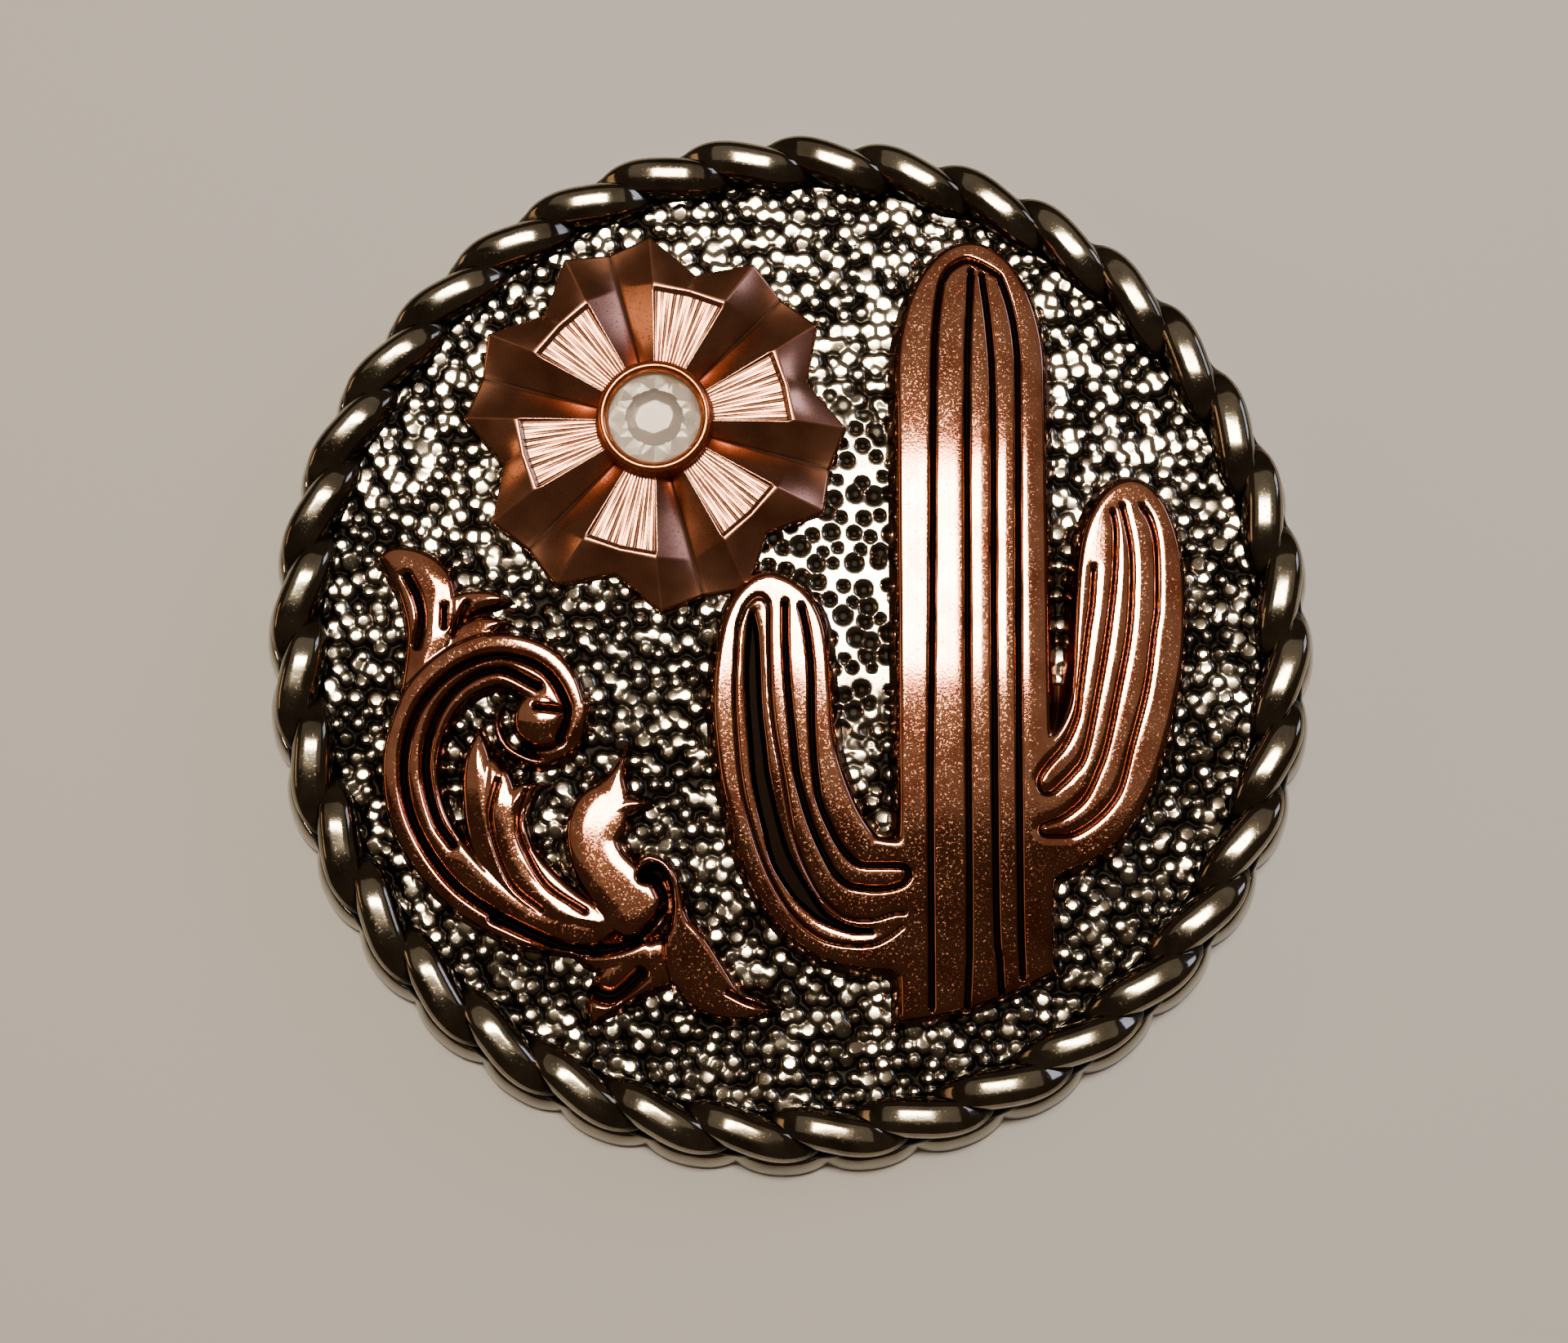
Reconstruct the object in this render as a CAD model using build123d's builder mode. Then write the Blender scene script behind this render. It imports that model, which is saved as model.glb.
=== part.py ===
# Western concho: a cast disc with a rope edge, and a copper cactus, scroll and flower on its face.
# Lengths are millimetres. The origin is the centre of the flat back, and +Z comes out of the face.
import os
from math import cos, radians, sin

from build123d import *

os.makedirs("parts", exist_ok=True)

# Disc
outer_diameter = 38.0
rope_width = 2.5
rope_height = 2.9
wall_height = 1.3
wall_draft_angle = 12
scallop_depth = 0.25
ground_height = 1.9
plate_thickness = 1.1
rim_width = 3.1
shoulder_inset = 0.4
rope_lap = 0.25

# Rope edge
strand_count = 36
strand_diameter = 1.44
strand_arch_radius = 1.5
strand_arch_angle = 110
strand_slant_angle = 30
strand_inset = 0.15
core_drop = 0.5

# Screw socket in the back, for a number 8 screw
screw_diameter = 4.2
socket_wall = 1.9
socket_roof = 0.5

# Copper work
cactus_relief = 1.0
cactus_draft_angle = 14
groove_width = 0.3
groove_depth = 0.35
valley_width = 0.5
scroll_relief = 0.95
scroll_draft_angle = 14
scroll_groove_width = 0.28
scroll_groove_depth = 0.45
flower_relief = 1.15

# Crystal and the cup that holds it
crystal_diameter = 3.75
crystal_table = 1.5
crystal_crown = 0.62
crystal_girdle = 0.12
crystal_pavilion = 1.25
crystal_culet = 0.1
crystal_facets = 8
cup_wall = 0.17
cup_floor = 0.12
cup_lip = 0.2
cup_crest = 0.1
cup_shoulder = 0.3
fit_gap = 0.03

outer_radius = outer_diameter / 2
rope_radius = outer_radius - rope_width / 2
face_radius = outer_radius - rope_width
cup_radius = crystal_diameter / 2 + fit_gap + cup_wall


def polar(radius, angle, height=None):
    """A point at a radius and an angle in degrees, flat or at a height."""
    flat = (radius * cos(radians(angle)), radius * sin(radians(angle)))
    return flat if height is None else (*flat, height)


def on_face(rows):
    """Points on the face, from rows of x and y as shares of the face radius."""
    return [(x * face_radius, y * face_radius) for x, y in rows]


def beside(path, share):
    """Points beside a path, at a share of its half width. Left of the way it runs is positive."""
    points = []
    last = len(path) - 1
    for row, (x, y, half_width) in enumerate(path):
        before = path[max(row - 1, 0)]
        after = path[min(row + 1, last)]
        along = Vector(after[0] - before[0], after[1] - before[1]).normalized()
        reach = half_width * share
        points.append((x - along.Y * reach, y + along.X * reach))
    return on_face(points)


def beside_rows(path, rows):
    """Points beside a path, from rows of a place along it, counted in its rows, and a share."""
    points = []
    for place, share in rows:
        side = beside(path, share)
        first = min(int(place), len(path) - 2)
        part = place - first
        start = Vector(side[first])
        points.append(start + (Vector(side[first + 1]) - start) * part)
    return points


def band(path, relief, section):
    """A raised band along a path. The section's columns are shares of relief and of half width."""
    levels = []
    for rise, share in section:
        with BuildSketch(Plane.XY.offset(ground_height + rise * relief)) as level:
            with BuildLine():
                left = Spline(*beside(path, share))
                right = Spline(*beside(path, -share))
                Line(left @ 0, right @ 0)
                Line(left @ 1, right @ 1)
            make_face()
        levels.append(level.sketch.face())
    loft(levels, ruled=True)


def grooves(paths, top, width, depth):
    """Grooves of one width, cut down from the top along splines."""
    for points in paths:
        with BuildSketch(Plane.XY.offset(top)) as line:
            with BuildLine():
                Spline(*points)
            trace(line_width=width)
        extrude(line.sketch, amount=-depth, mode=Mode.SUBTRACT)


# Disc with its rope edge, hollow back and screw socket, one casting
strand_step = 360 / strand_count
socket_radius = screw_diameter / 2 + socket_wall
back_floor = ground_height - plate_thickness
strand_radius = rope_radius - strand_inset
strand_height = rope_height - strand_diameter / 2 - strand_arch_radius
strand_places = [
    Location(
        polar(strand_radius, strand_step * (k + 0.5), strand_height),
        (0, 0, strand_step * (k + 0.5) + 90 - strand_slant_angle),
    )
    for k in range(strand_count)
]

with BuildPart() as concho_base:
    with BuildSketch():
        with BuildLine():
            for k in range(strand_count):
                middle = strand_step * (k + 0.9)
                ThreePointArc(
                    polar(outer_radius - scallop_depth, middle - strand_step / 2),
                    polar(outer_radius, middle),
                    polar(outer_radius - scallop_depth, middle + strand_step / 2),
                )
        make_face()
    extrude(amount=wall_height, taper=wall_draft_angle)
    with BuildSketch(Plane.XZ):
        with BuildLine():
            shoulder = (outer_radius - shoulder_inset, wall_height)
            seat = (face_radius + rope_lap, ground_height)
            Polyline(shoulder, (0, wall_height), (0, ground_height), seat)
            ThreePointArc(seat, (rope_radius, rope_height - core_drop), shoulder)
        make_face()
    revolve(axis=Axis.Z)
    with Locations(*strand_places):
        Torus(
            strand_arch_radius,
            strand_diameter / 2,
            major_angle=strand_arch_angle,
            rotation=(90, 0, 90 - strand_arch_angle / 2),
            align=None,
        )
    with BuildSketch():
        Circle(outer_radius - rim_width)
        Circle(socket_radius, mode=Mode.SUBTRACT)
    extrude(amount=back_floor, mode=Mode.SUBTRACT)
    with BuildSketch():
        Circle(screw_diameter / 2)
    extrude(amount=ground_height - socket_roof, mode=Mode.SUBTRACT)

concho_base.part.label = "concho_base"
export_step(concho_base.part, "parts/concho_base.step")

# Cactus, a trunk with two arms. Arm rows are x, y and half width as shares of the face radius.
trunk_middle_share = 0.392
trunk_half_width_share = 0.182
trunk_shoulder_share = 0.564
trunk_top_share = 0.888
foot_left_share = -0.845
foot_middle_share = -0.812
foot_right_share = -0.733
arm_section = [(0, 1), (0.7, 0.92), (1, 0.84)]
left_arm = [
    (-0.042, 0.118, 0.006),
    (-0.042, 0.104, 0.038),
    (-0.046, 0.073, 0.080),
    (-0.038, 0.000, 0.130),
    (-0.040, -0.121, 0.146),
    (-0.032, -0.242, 0.147),
    (-0.010, -0.345, 0.150),
    (0.036, -0.467, 0.157),
    (0.110, -0.558, 0.160),
    (0.220, -0.582, 0.156),
    (0.300, -0.582, 0.150),
]
right_arm = [
    (0.735, 0.316, 0.006),
    (0.735, 0.303, 0.042),
    (0.734, 0.273, 0.085),
    (0.732, 0.212, 0.118),
    (0.732, 0.121, 0.135),
    (0.727, 0.000, 0.138),
    (0.718, -0.091, 0.134),
    (0.700, -0.188, 0.130),
    (0.660, -0.285, 0.138),
    (0.594, -0.360, 0.150),
    (0.500, -0.400, 0.150),
]
trunk_grooves = [
    [(0.297, -0.806), (0.300, -0.300), (0.303, 0.300), (0.306, 0.620), (0.320, 0.770), (0.358, 0.830)],
    [(0.370, -0.794), (0.380, -0.200), (0.378, 0.300), (0.382, 0.815)],
    [(0.442, -0.764), (0.430, -0.485), (0.427, 0.485), (0.410, 0.760)],
    [(0.494, -0.727), (0.482, -0.485), (0.480, 0.485), (0.464, 0.700), (0.430, 0.806)],
]

# Arm grooves. Columns are the place along the arm, counted in its rows, and the share of half width.
left_arm_grooves = [
    [
        (2.25, 0.68), (3, 0.53), (4, 0.60), (5, 0.49), (6, 0.46), (7, 0.44), (8, 0.48), (9, 0.52),
        (9.25, 0.42), (9, 0.28), (8, 0.17), (7, 0.16), (6, 0.20), (5, 0.24), (4, 0.23), (3, 0.19),
        (2.2, 0.38),
    ],
]
left_arm_valley = [(2.5, -0.34), (3, -0.33), (4, -0.28), (5, -0.29), (6, -0.34), (7, -0.40), (8.5, -0.42)]
right_arm_grooves = [
    [
        (2.3, 0.43), (4, 0.42), (6, 0.38), (7, 0.38), (8, 0.42), (9, 0.42),
        (9.7, 0.28), (9, 0.08), (8, 0.00), (7, -0.03), (5, 0.00), (3, 0.08), (2.2, 0.08),
    ],
    [
        (2.2, -0.28), (4, -0.28), (5, -0.32), (6, -0.38), (7, -0.42), (8, -0.38), (9, -0.30),
        (9.4, -0.45), (9, -0.62), (8, -0.69), (7, -0.68), (6, -0.68), (5, -0.60), (3.6, -0.46),
    ],
]

with BuildPart() as cactus:
    with BuildSketch(Plane.XY.offset(ground_height)):
        with BuildLine():
            middle = trunk_middle_share
            left = middle - trunk_half_width_share
            right = middle + trunk_half_width_share
            foot = [(left, foot_left_share), (middle, foot_middle_share), (right, foot_right_share)]
            Line(*on_face([(left, trunk_shoulder_share), foot[0]]))
            ThreePointArc(*on_face(foot))
            Line(*on_face([foot[2], (right, trunk_shoulder_share)]))
            EllipticalCenterArc(
                on_face([(middle, trunk_shoulder_share)])[0],
                trunk_half_width_share * face_radius,
                (trunk_top_share - trunk_shoulder_share) * face_radius,
                start_angle=0,
                arc_size=180,
            )
        make_face()
    extrude(amount=cactus_relief, taper=cactus_draft_angle)
    band(left_arm, cactus_relief, arm_section)
    band(right_arm, cactus_relief, arm_section)
    cactus_top = ground_height + cactus_relief
    paths = [on_face(points) for points in trunk_grooves]
    paths += [beside_rows(left_arm, rows) for rows in left_arm_grooves]
    paths += [beside_rows(right_arm, rows) for rows in right_arm_grooves]
    grooves(paths, cactus_top, groove_width, groove_depth)
    grooves([beside_rows(left_arm, left_arm_valley)], cactus_top, valley_width, groove_depth)

cactus.part.label = "cactus"
export_step(cactus.part, "parts/cactus.step")

# Flower of six forked petals. Rows are radius as a share of the face radius, angle from the
# petal's middle and height as a share of the flower's relief.
petal_count = 6
petal_turn_angle = 15.5
flower_centre = (-0.294, 0.466)
pad_inner = (0.110, 15.5, 0.95)
pad_outer = (0.303, 15.5, 1.00)
petal_tip = (0.412, 16.5, 0.50)
petal_notch = (0.376, 30.0, 0.28)
petal_root = (0.110, 30.0, 0.45)
petal_dip = (0.345, 0.0, 0.42)


def petal_point(row, side, on_ground=False):
    """A corner of the petal on one side of its middle, at its height or on the ground."""
    radius, angle, rise = row
    height = ground_height if on_ground else ground_height + rise * flower_relief
    return polar(radius * face_radius, side * angle, height)


def petal():
    """One petal as a closed solid: a flat pad, sloping flanks and a forked outer edge."""
    edge = [(petal_root, 1), (petal_notch, 1), (petal_tip, 1), (petal_dip, 0)]
    edge += [(petal_tip, -1), (petal_notch, -1), (petal_root, -1), (pad_inner, -1), (pad_inner, 1)]
    faces = [[petal_point(row, side, True) for row, side in edge]]
    for start, end in zip(edge, edge[1:] + edge[:1]):
        low = [petal_point(*start, True), petal_point(*end, True)]
        faces.append(low + [petal_point(*end), petal_point(*start)])
    faces.append([petal_point(pad_inner, 1), petal_point(pad_outer, 1),
                  petal_point(pad_outer, -1), petal_point(pad_inner, -1)])
    faces.append([petal_point(pad_outer, 1), petal_point(pad_outer, -1), petal_point(petal_dip, 0)])
    for side in (-1, 1):
        for rows in (
            (pad_inner, pad_outer, petal_notch),
            (pad_inner, petal_notch, petal_root),
            (pad_outer, petal_tip, petal_notch),
            (pad_outer, petal_dip, petal_tip),
        ):
            faces.append([petal_point(row, side) for row in rows])
    return Solid(Shell([Face(Wire.make_polygon(points)) for points in faces]))


with BuildPart() as flower:
    with Locations(Location((*on_face([flower_centre])[0], 0), (0, 0, petal_turn_angle))):
        with PolarLocations(0, petal_count):
            add(petal())
    with BuildSketch(Plane.XY.offset(ground_height)):
        with Locations(on_face([flower_centre])):
            Circle(cup_radius + fit_gap)
    extrude(amount=flower_relief, mode=Mode.SUBTRACT)

flower.part.label = "flower"
export_step(flower.part, "parts/flower.step")

# Crystal: a pointed back, a thin girdle, a faceted crown and a flat table
culet_height = ground_height + cup_floor + fit_gap
girdle_height = culet_height + crystal_pavilion
crown_foot = girdle_height + crystal_girdle
table_height = crown_foot + crystal_crown
crystal_radius = crystal_diameter / 2
crystal_levels = [
    (culet_height, crystal_culet / 2),
    (girdle_height, crystal_radius),
    (crown_foot, crystal_radius),
    (table_height, crystal_table / 2),
]

with BuildPart() as crystal:
    for low, high in zip(crystal_levels, crystal_levels[1:]):
        for height, radius in (low, high):
            with BuildSketch(Plane.XY.offset(height)):
                with Locations(on_face([flower_centre])):
                    RegularPolygon(radius, crystal_facets)
        loft(ruled=True)

crystal.part.label = "crystal"
export_step(crystal.part, "parts/crystal.step")

# Cup around the crystal, with a lip over its crown
crown_slope = (crystal_radius - crystal_table / 2) / crystal_crown
cup_inside = crystal_radius + fit_gap
lip_inside = cup_inside - cup_lip
lip_foot = crown_foot + fit_gap
lip_top = lip_foot + cup_lip / crown_slope
cup_top = lip_top + cup_crest

with BuildPart() as bezel_cup:
    with BuildSketch(Plane.XZ):
        with BuildLine():
            Polyline(
                (cup_radius, cup_top - cup_shoulder),
                (cup_radius, ground_height),
                (0, ground_height),
                (0, ground_height + cup_floor),
                (crystal_culet, ground_height + cup_floor),
                (cup_inside, girdle_height - fit_gap),
                (cup_inside, lip_foot),
                (lip_inside, lip_top),
            )
            ThreePointArc(
                (lip_inside, lip_top),
                (lip_inside + cup_lip, cup_top),
                (cup_radius, cup_top - cup_shoulder),
            )
        make_face()
    revolve(axis=Axis.Z)

bezel_cup.part.position = (*on_face([flower_centre])[0], 0)
bezel_cup.part.label = "bezel_cup"
export_step(bezel_cup.part, "parts/bezel_cup.step")

# Scroll: leaves and a volute. Rows are x, y and half width as shares of the face radius.
scroll_section = [(0, 1), (0.6, 0.9), (1, 0.6)]
volute = [
    (-0.442, -0.648, 0.050),
    (-0.582, -0.612, 0.061),
    (-0.703, -0.527, 0.070),
    (-0.785, -0.412, 0.073),
    (-0.812, -0.291, 0.073),
    (-0.788, -0.176, 0.073),
    (-0.724, -0.094, 0.070),
    (-0.630, -0.055, 0.070),
    (-0.539, -0.085, 0.073),
    (-0.494, -0.160, 0.068),
    (-0.512, -0.225, 0.060),
]
volute_eye = (-0.527, -0.188, 0.106)
top_leaf = [
    (-0.900, 0.173, 0.005),
    (-0.845, 0.158, 0.048),
    (-0.788, 0.103, 0.074),
    (-0.776, 0.018, 0.064),
    (-0.788, -0.061, 0.055),
    (-0.800, -0.152, 0.055),
]
small_leaf = [
    (-0.597, 0.073, 0.005),
    (-0.642, 0.079, 0.027),
    (-0.703, 0.067, 0.039),
    (-0.752, 0.030, 0.048),
    (-0.776, -0.036, 0.055),
]
leaf_web = [(-0.612, 0.030, 0.012), (-0.667, 0.012, 0.040), (-0.727, -0.030, 0.050)]
long_lobe = [
    (-0.673, -0.203, 0.005),
    (-0.679, -0.255, 0.024),
    (-0.685, -0.339, 0.036),
    (-0.679, -0.436, 0.042),
    (-0.624, -0.533, 0.042),
    (-0.521, -0.606, 0.036),
    (-0.412, -0.630, 0.036),
]
middle_lobe = [
    (-0.606, -0.297, 0.012),
    (-0.618, -0.364, 0.030),
    (-0.612, -0.448, 0.030),
    (-0.570, -0.533, 0.030),
    (-0.485, -0.600, 0.027),
    (-0.412, -0.618, 0.024),
]
short_lobe = [
    (-0.524, -0.342, 0.006),
    (-0.562, -0.370, 0.022),
    (-0.573, -0.430, 0.021),
    (-0.545, -0.503, 0.024),
    (-0.485, -0.567, 0.021),
    (-0.418, -0.603, 0.012),
]
hook = [
    (-0.361, -0.255, 0.008),
    (-0.382, -0.315, 0.028),
    (-0.415, -0.382, 0.046),
    (-0.427, -0.461, 0.061),
    (-0.394, -0.539, 0.070),
    (-0.345, -0.600, 0.073),
]
hook_bulb = (-0.345, -0.594, 0.075)
hook_nose = [
    (-0.297, -0.402, 0.004),
    (-0.333, -0.388, 0.020),
    (-0.376, -0.400, 0.030),
    (-0.406, -0.448, 0.030),
]
curl = [
    (-0.321, -0.502, 0.016),
    (-0.303, -0.486, 0.019),
    (-0.270, -0.494, 0.021),
    (-0.248, -0.527, 0.023),
    (-0.239, -0.570, 0.024),
    (-0.233, -0.618, 0.033),
    (-0.218, -0.679, 0.061),
    (-0.182, -0.745, 0.067),
    (-0.127, -0.788, 0.045),
    (-0.067, -0.797, 0.028),
    (-0.018, -0.798, 0.008),
]
under_leaf = [
    (-0.424, -0.833, 0.008),
    (-0.400, -0.788, 0.039),
    (-0.358, -0.739, 0.058),
    (-0.279, -0.703, 0.061),
    (-0.230, -0.700, 0.050),
]
lower_web = [(-0.448, -0.645, 0.050), (-0.400, -0.685, 0.045), (-0.320, -0.690, 0.050)]
scroll_bands = [
    volute, top_leaf, small_leaf, leaf_web, long_lobe, middle_lobe,
    short_lobe, hook, hook_nose, curl, under_leaf, lower_web,
]
volute_grooves = [
    [
        (1, 0.2), (2, 0.2), (3, 0.17), (4, 0.2), (5, 0.22), (6, 0.25), (7, 0.27),
        (8, 0.42), (9, 0.45), (10, 0.4),
    ],
    [(2.5, -0.45), (3, -0.48), (4, -0.45), (5, -0.38), (6, -0.32), (7, -0.3), (8.2, -0.25)],
]
under_groove = [
    (-0.624, -0.606),
    (-0.485, -0.667),
    (-0.388, -0.673),
    (-0.312, -0.642),
    (-0.267, -0.582),
    (-0.285, -0.530),
    (-0.312, -0.520),
]
lobe_grooves = [
    [(-0.648, -0.364), (-0.648, -0.436), (-0.606, -0.527), (-0.539, -0.585)],
    [(-0.591, -0.370), (-0.591, -0.448), (-0.545, -0.533), (-0.455, -0.612)],
    [(-0.827, 0.127), (-0.803, 0.079), (-0.794, 0.030), (-0.803, -0.024)],
]

with BuildPart() as scroll:
    for path in scroll_bands:
        band(path, scroll_relief, scroll_section)
    for x, y, radius in (volute_eye, hook_bulb):
        with BuildSketch(Plane.XY.offset(ground_height)):
            with Locations(on_face([(x, y)])):
                Circle(radius * face_radius)
        extrude(amount=scroll_relief, taper=scroll_draft_angle)
    scroll_top = ground_height + scroll_relief
    paths = [beside_rows(volute, rows) for rows in volute_grooves]
    paths += [on_face(points) for points in [under_groove] + lobe_grooves]
    grooves(paths, scroll_top, scroll_groove_width, scroll_groove_depth)

scroll.part.label = "scroll"
export_step(scroll.part, "parts/scroll.step")
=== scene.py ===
"""Looks of a western concho: a silver disc with a rope edge and copper figures on its face."""

import math

import bmesh
import bpy
import numpy as np
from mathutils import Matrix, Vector


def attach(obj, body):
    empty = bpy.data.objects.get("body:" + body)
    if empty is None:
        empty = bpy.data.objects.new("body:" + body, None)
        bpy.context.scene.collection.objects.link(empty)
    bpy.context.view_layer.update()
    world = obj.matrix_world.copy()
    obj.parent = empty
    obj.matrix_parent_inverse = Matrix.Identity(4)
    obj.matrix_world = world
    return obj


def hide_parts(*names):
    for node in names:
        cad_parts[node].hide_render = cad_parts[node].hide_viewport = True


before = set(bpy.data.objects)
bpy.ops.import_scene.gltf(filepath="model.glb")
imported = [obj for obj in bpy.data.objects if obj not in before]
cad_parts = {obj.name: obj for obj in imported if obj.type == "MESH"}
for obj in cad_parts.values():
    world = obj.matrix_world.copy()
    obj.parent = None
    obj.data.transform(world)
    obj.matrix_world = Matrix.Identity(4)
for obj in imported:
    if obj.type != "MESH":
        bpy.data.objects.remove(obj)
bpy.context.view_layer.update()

# Camera. The photograph looks down at the face from the side of the cactus's foot, close to
# straight above it, from about ten centimetres away.
camera_height_angle = math.radians(81.5)
camera_distance = 0.100
camera_aim = Vector((-0.00024, -0.00095, 0.0))
lens = bpy.data.cameras.new("camera")
lens.sensor_width = 36
lens.lens = 63.19
lens.clip_start = 0.005
lens.clip_end = 10
camera = bpy.data.objects.new("camera", lens)
camera.location = camera_aim + camera_distance * Vector(
    (0, -math.cos(camera_height_angle), math.sin(camera_height_angle))
)
camera.rotation_euler = (math.radians(90) - camera_height_angle, 0, 0)
bpy.context.scene.collection.objects.link(camera)
bpy.context.scene.camera = camera

# Studio. A pale matt table top, and a bright soft box nearly overhead that the flat metal mirrors in
# one band across the face. A cool window stands at the right, a weak warm lamp at the left, and
# the ceiling and the room are dim.


def linear(colour):
    """Linear RGBA of an sRGB hex: c / 12.92 below 0.04045, else ((c + 0.055) / 1.055) to the 2.4."""
    parts = [int(colour[i : i + 2], 16) / 255 for i in (1, 3, 5)]
    return [c / 12.92 if c < 0.04045 else ((c + 0.055) / 1.055) ** 2.4 for c in parts] + [1]


def node(tree, kind, inputs=None, **settings):
    """Adds a node with its settings, and links or sets each of its inputs."""
    made = tree.nodes.new(kind)
    for name, value in settings.items():
        setattr(made, name, value)
    for name, value in (inputs or {}).items():
        if isinstance(value, bpy.types.NodeSocket):
            tree.links.new(value, made.inputs[name])
        else:
            made.inputs[name].default_value = value
    return made


def material(name):
    """A new material with an empty node tree and its output node."""
    made = bpy.data.materials.new(name)
    made.use_nodes = True
    made.node_tree.nodes.clear()
    return made, made.node_tree, node(made.node_tree, "ShaderNodeOutputMaterial")


# Matt painted board: even, pale and without gloss
board, tree, out = material("matt_painted_board")
shader = node(tree, "ShaderNodeBsdfPrincipled", {"Base Color": linear("#ece8e0"), "Roughness": 0.8})
tree.links.new(shader.outputs[0], out.inputs[0])
table_radius = 1.5
table_sides = 96
around = np.linspace(0, 2 * math.pi, table_sides, endpoint=False)
rim = np.stack([np.cos(around), np.sin(around), 0 * around], 1) * table_radius
top = bpy.data.meshes.new("table_top")
top.from_pydata(rim.tolist(), [], [list(range(table_sides))])
top.materials.append(board)
table_top = bpy.data.objects.new("table_top", top)
bpy.context.scene.collection.objects.link(table_top)

# Each light's place and size in metres, its radiance, its colour and whether it is turned to the
# disc or hangs level
for name, place, size, radiance, colour, turned in (
    ("overhead_box", (-0.003, 0.059, 0.300), (0.066, 0.031), 100.0, "#fff1de", False),
    ("ceiling", (0.0, 0.475, 1.0), (1.2, 0.77), 0.30, "#fff0e0", False),
    ("right_window", (0.225, 0.130, 0.150), (0.090, 0.120), 3.4, "#bccdff", True),
    ("left_lamp", (-0.260, 0.020, 0.120), (0.120, 0.080), 1.6, "#ffcda0", True),
):
    box = bpy.data.lights.new(name, "AREA")
    box.shape = "RECTANGLE"
    box.size, box.size_y = size
    box.energy = radiance * math.pi * size[0] * size[1]
    box.color = linear(colour)[:3]
    lamp = bpy.data.objects.new(name, box)
    lamp.location = place
    if turned:
        lamp.rotation_mode = "QUATERNION"
        lamp.rotation_quaternion = Vector(place).to_track_quat("Z", "Y")
    bpy.context.scene.collection.objects.link(lamp)

room = bpy.data.worlds.new("dim_room")
room.use_nodes = True
room.node_tree.nodes["Background"].inputs["Color"].default_value = linear("#6a5c50")
room.node_tree.nodes["Background"].inputs["Strength"].default_value = 0.5
bpy.context.scene.world = room

# Rope edge, wall and back of the disc. One zinc casting, silver plated and darkened, with a
# two-strand rope cast round its rim, a hollow back and a screw socket. It lies on its rim.
strand_count = 36
strand_step = 2 * math.pi / strand_count
strand_middle = strand_step / 2
core_radius = 17.50
core_height = 1.68
strand_rows = 44
strand_wind = 0.48
strand_half = 0.73
strand_half_length = 2.60
strand_lean = 0.10
# Painted shade low on the strands, with their tarnish in the gaps between them: how dark the strands
# are low down, below what height, and over what depth that fades in
strand_dark, strand_dark_below, strand_dark_fade = 0.93, 2.55, 0.40
core_half_width = 0.90
core_crest_foot = 1.40
core_crest = 0.50
wall_dark = 0.12
scallop = 0.38
scallop_power = 2.4
scallop_start = math.radians(4)
ground_height = 1.9
floor_under_copper = ground_height - 0.30
floor_reach = 16.3
recess_radius = 15.9
back_floor = 0.8
socket_radius = 4.0
bore_radius = 2.1
bore_depth = 1.4
thread_pitch = 0.79
thread_depth = 0.18
thread_rows = 28


def grid_faces(rows, columns, round_rows=False, round_columns=False):
    """Four-sided faces of a grid of points, joined end to start where it goes round."""
    r = np.arange(rows if round_rows else rows - 1)[:, None]
    c = np.arange(columns if round_columns else columns - 1)[None, :]
    r2, c2 = (r + 1) % rows, (c + 1) % columns
    corners = (r * columns + c, r2 * columns + c, r2 * columns + c2, r * columns + c2)
    return np.stack(np.broadcast_arrays(*corners), -1).reshape(-1, 4)


def turned_over(faces):
    """Four-sided faces that point the other way, still split along the same diagonal."""
    return faces[:, [0, 3, 2, 1]]


def lay(name, points, faces, finish, **amounts):
    """Makes a smooth object of points in millimetres, faces and one number a point for each amount.
    Points that coincide, as at a pole, are merged."""
    used, renumbered = np.unique(faces, return_inverse=True)
    faces = renumbered.reshape(faces.shape)
    mesh = bpy.data.meshes.new(name)
    mesh.vertices.add(len(used))
    mesh.vertices.foreach_set("co", (points[used] * 0.001).astype(np.float32).ravel())
    mesh.loops.add(faces.size)
    mesh.loops.foreach_set("vertex_index", faces.astype(np.int32).ravel())
    mesh.polygons.add(len(faces))
    mesh.polygons.foreach_set("loop_start", np.arange(0, faces.size, faces.shape[1], dtype=np.int32))
    mesh.polygons.foreach_set("use_smooth", np.ones(len(faces), bool))
    for amount, values in amounts.items():
        layer = mesh.attributes.new(amount, "FLOAT", "POINT")
        layer.data.foreach_set("value", values[used].astype(np.float32))
    mesh.update(calc_edges=True)
    merged = bmesh.new()
    merged.from_mesh(mesh)
    bmesh.ops.remove_doubles(merged, verts=merged.verts, dist=1e-7)
    merged.to_mesh(mesh)
    merged.free()
    mesh.validate()
    mesh.materials.append(finish)
    made = bpy.data.objects.new(name, mesh)
    bpy.context.scene.collection.objects.link(made)
    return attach(made, "root")


def ease(x, low, high):
    """0 below low, 1 above high, and 3 t^2 - 2 t^3 between them."""
    t = np.clip((x - low) / (high - low), 0, 1)
    return t * t * (3 - 2 * t)


# Clouds of tarnish, dark specks and scuffs, by their size in millimetres. Real specks and scuffs
# are finer, and are drawn as coarse as they need to show in the render.
cloud_mm = 1.3
speck_mm = 0.09
scuff_mm = 0.07
scuff_roughness = 0.13


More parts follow.
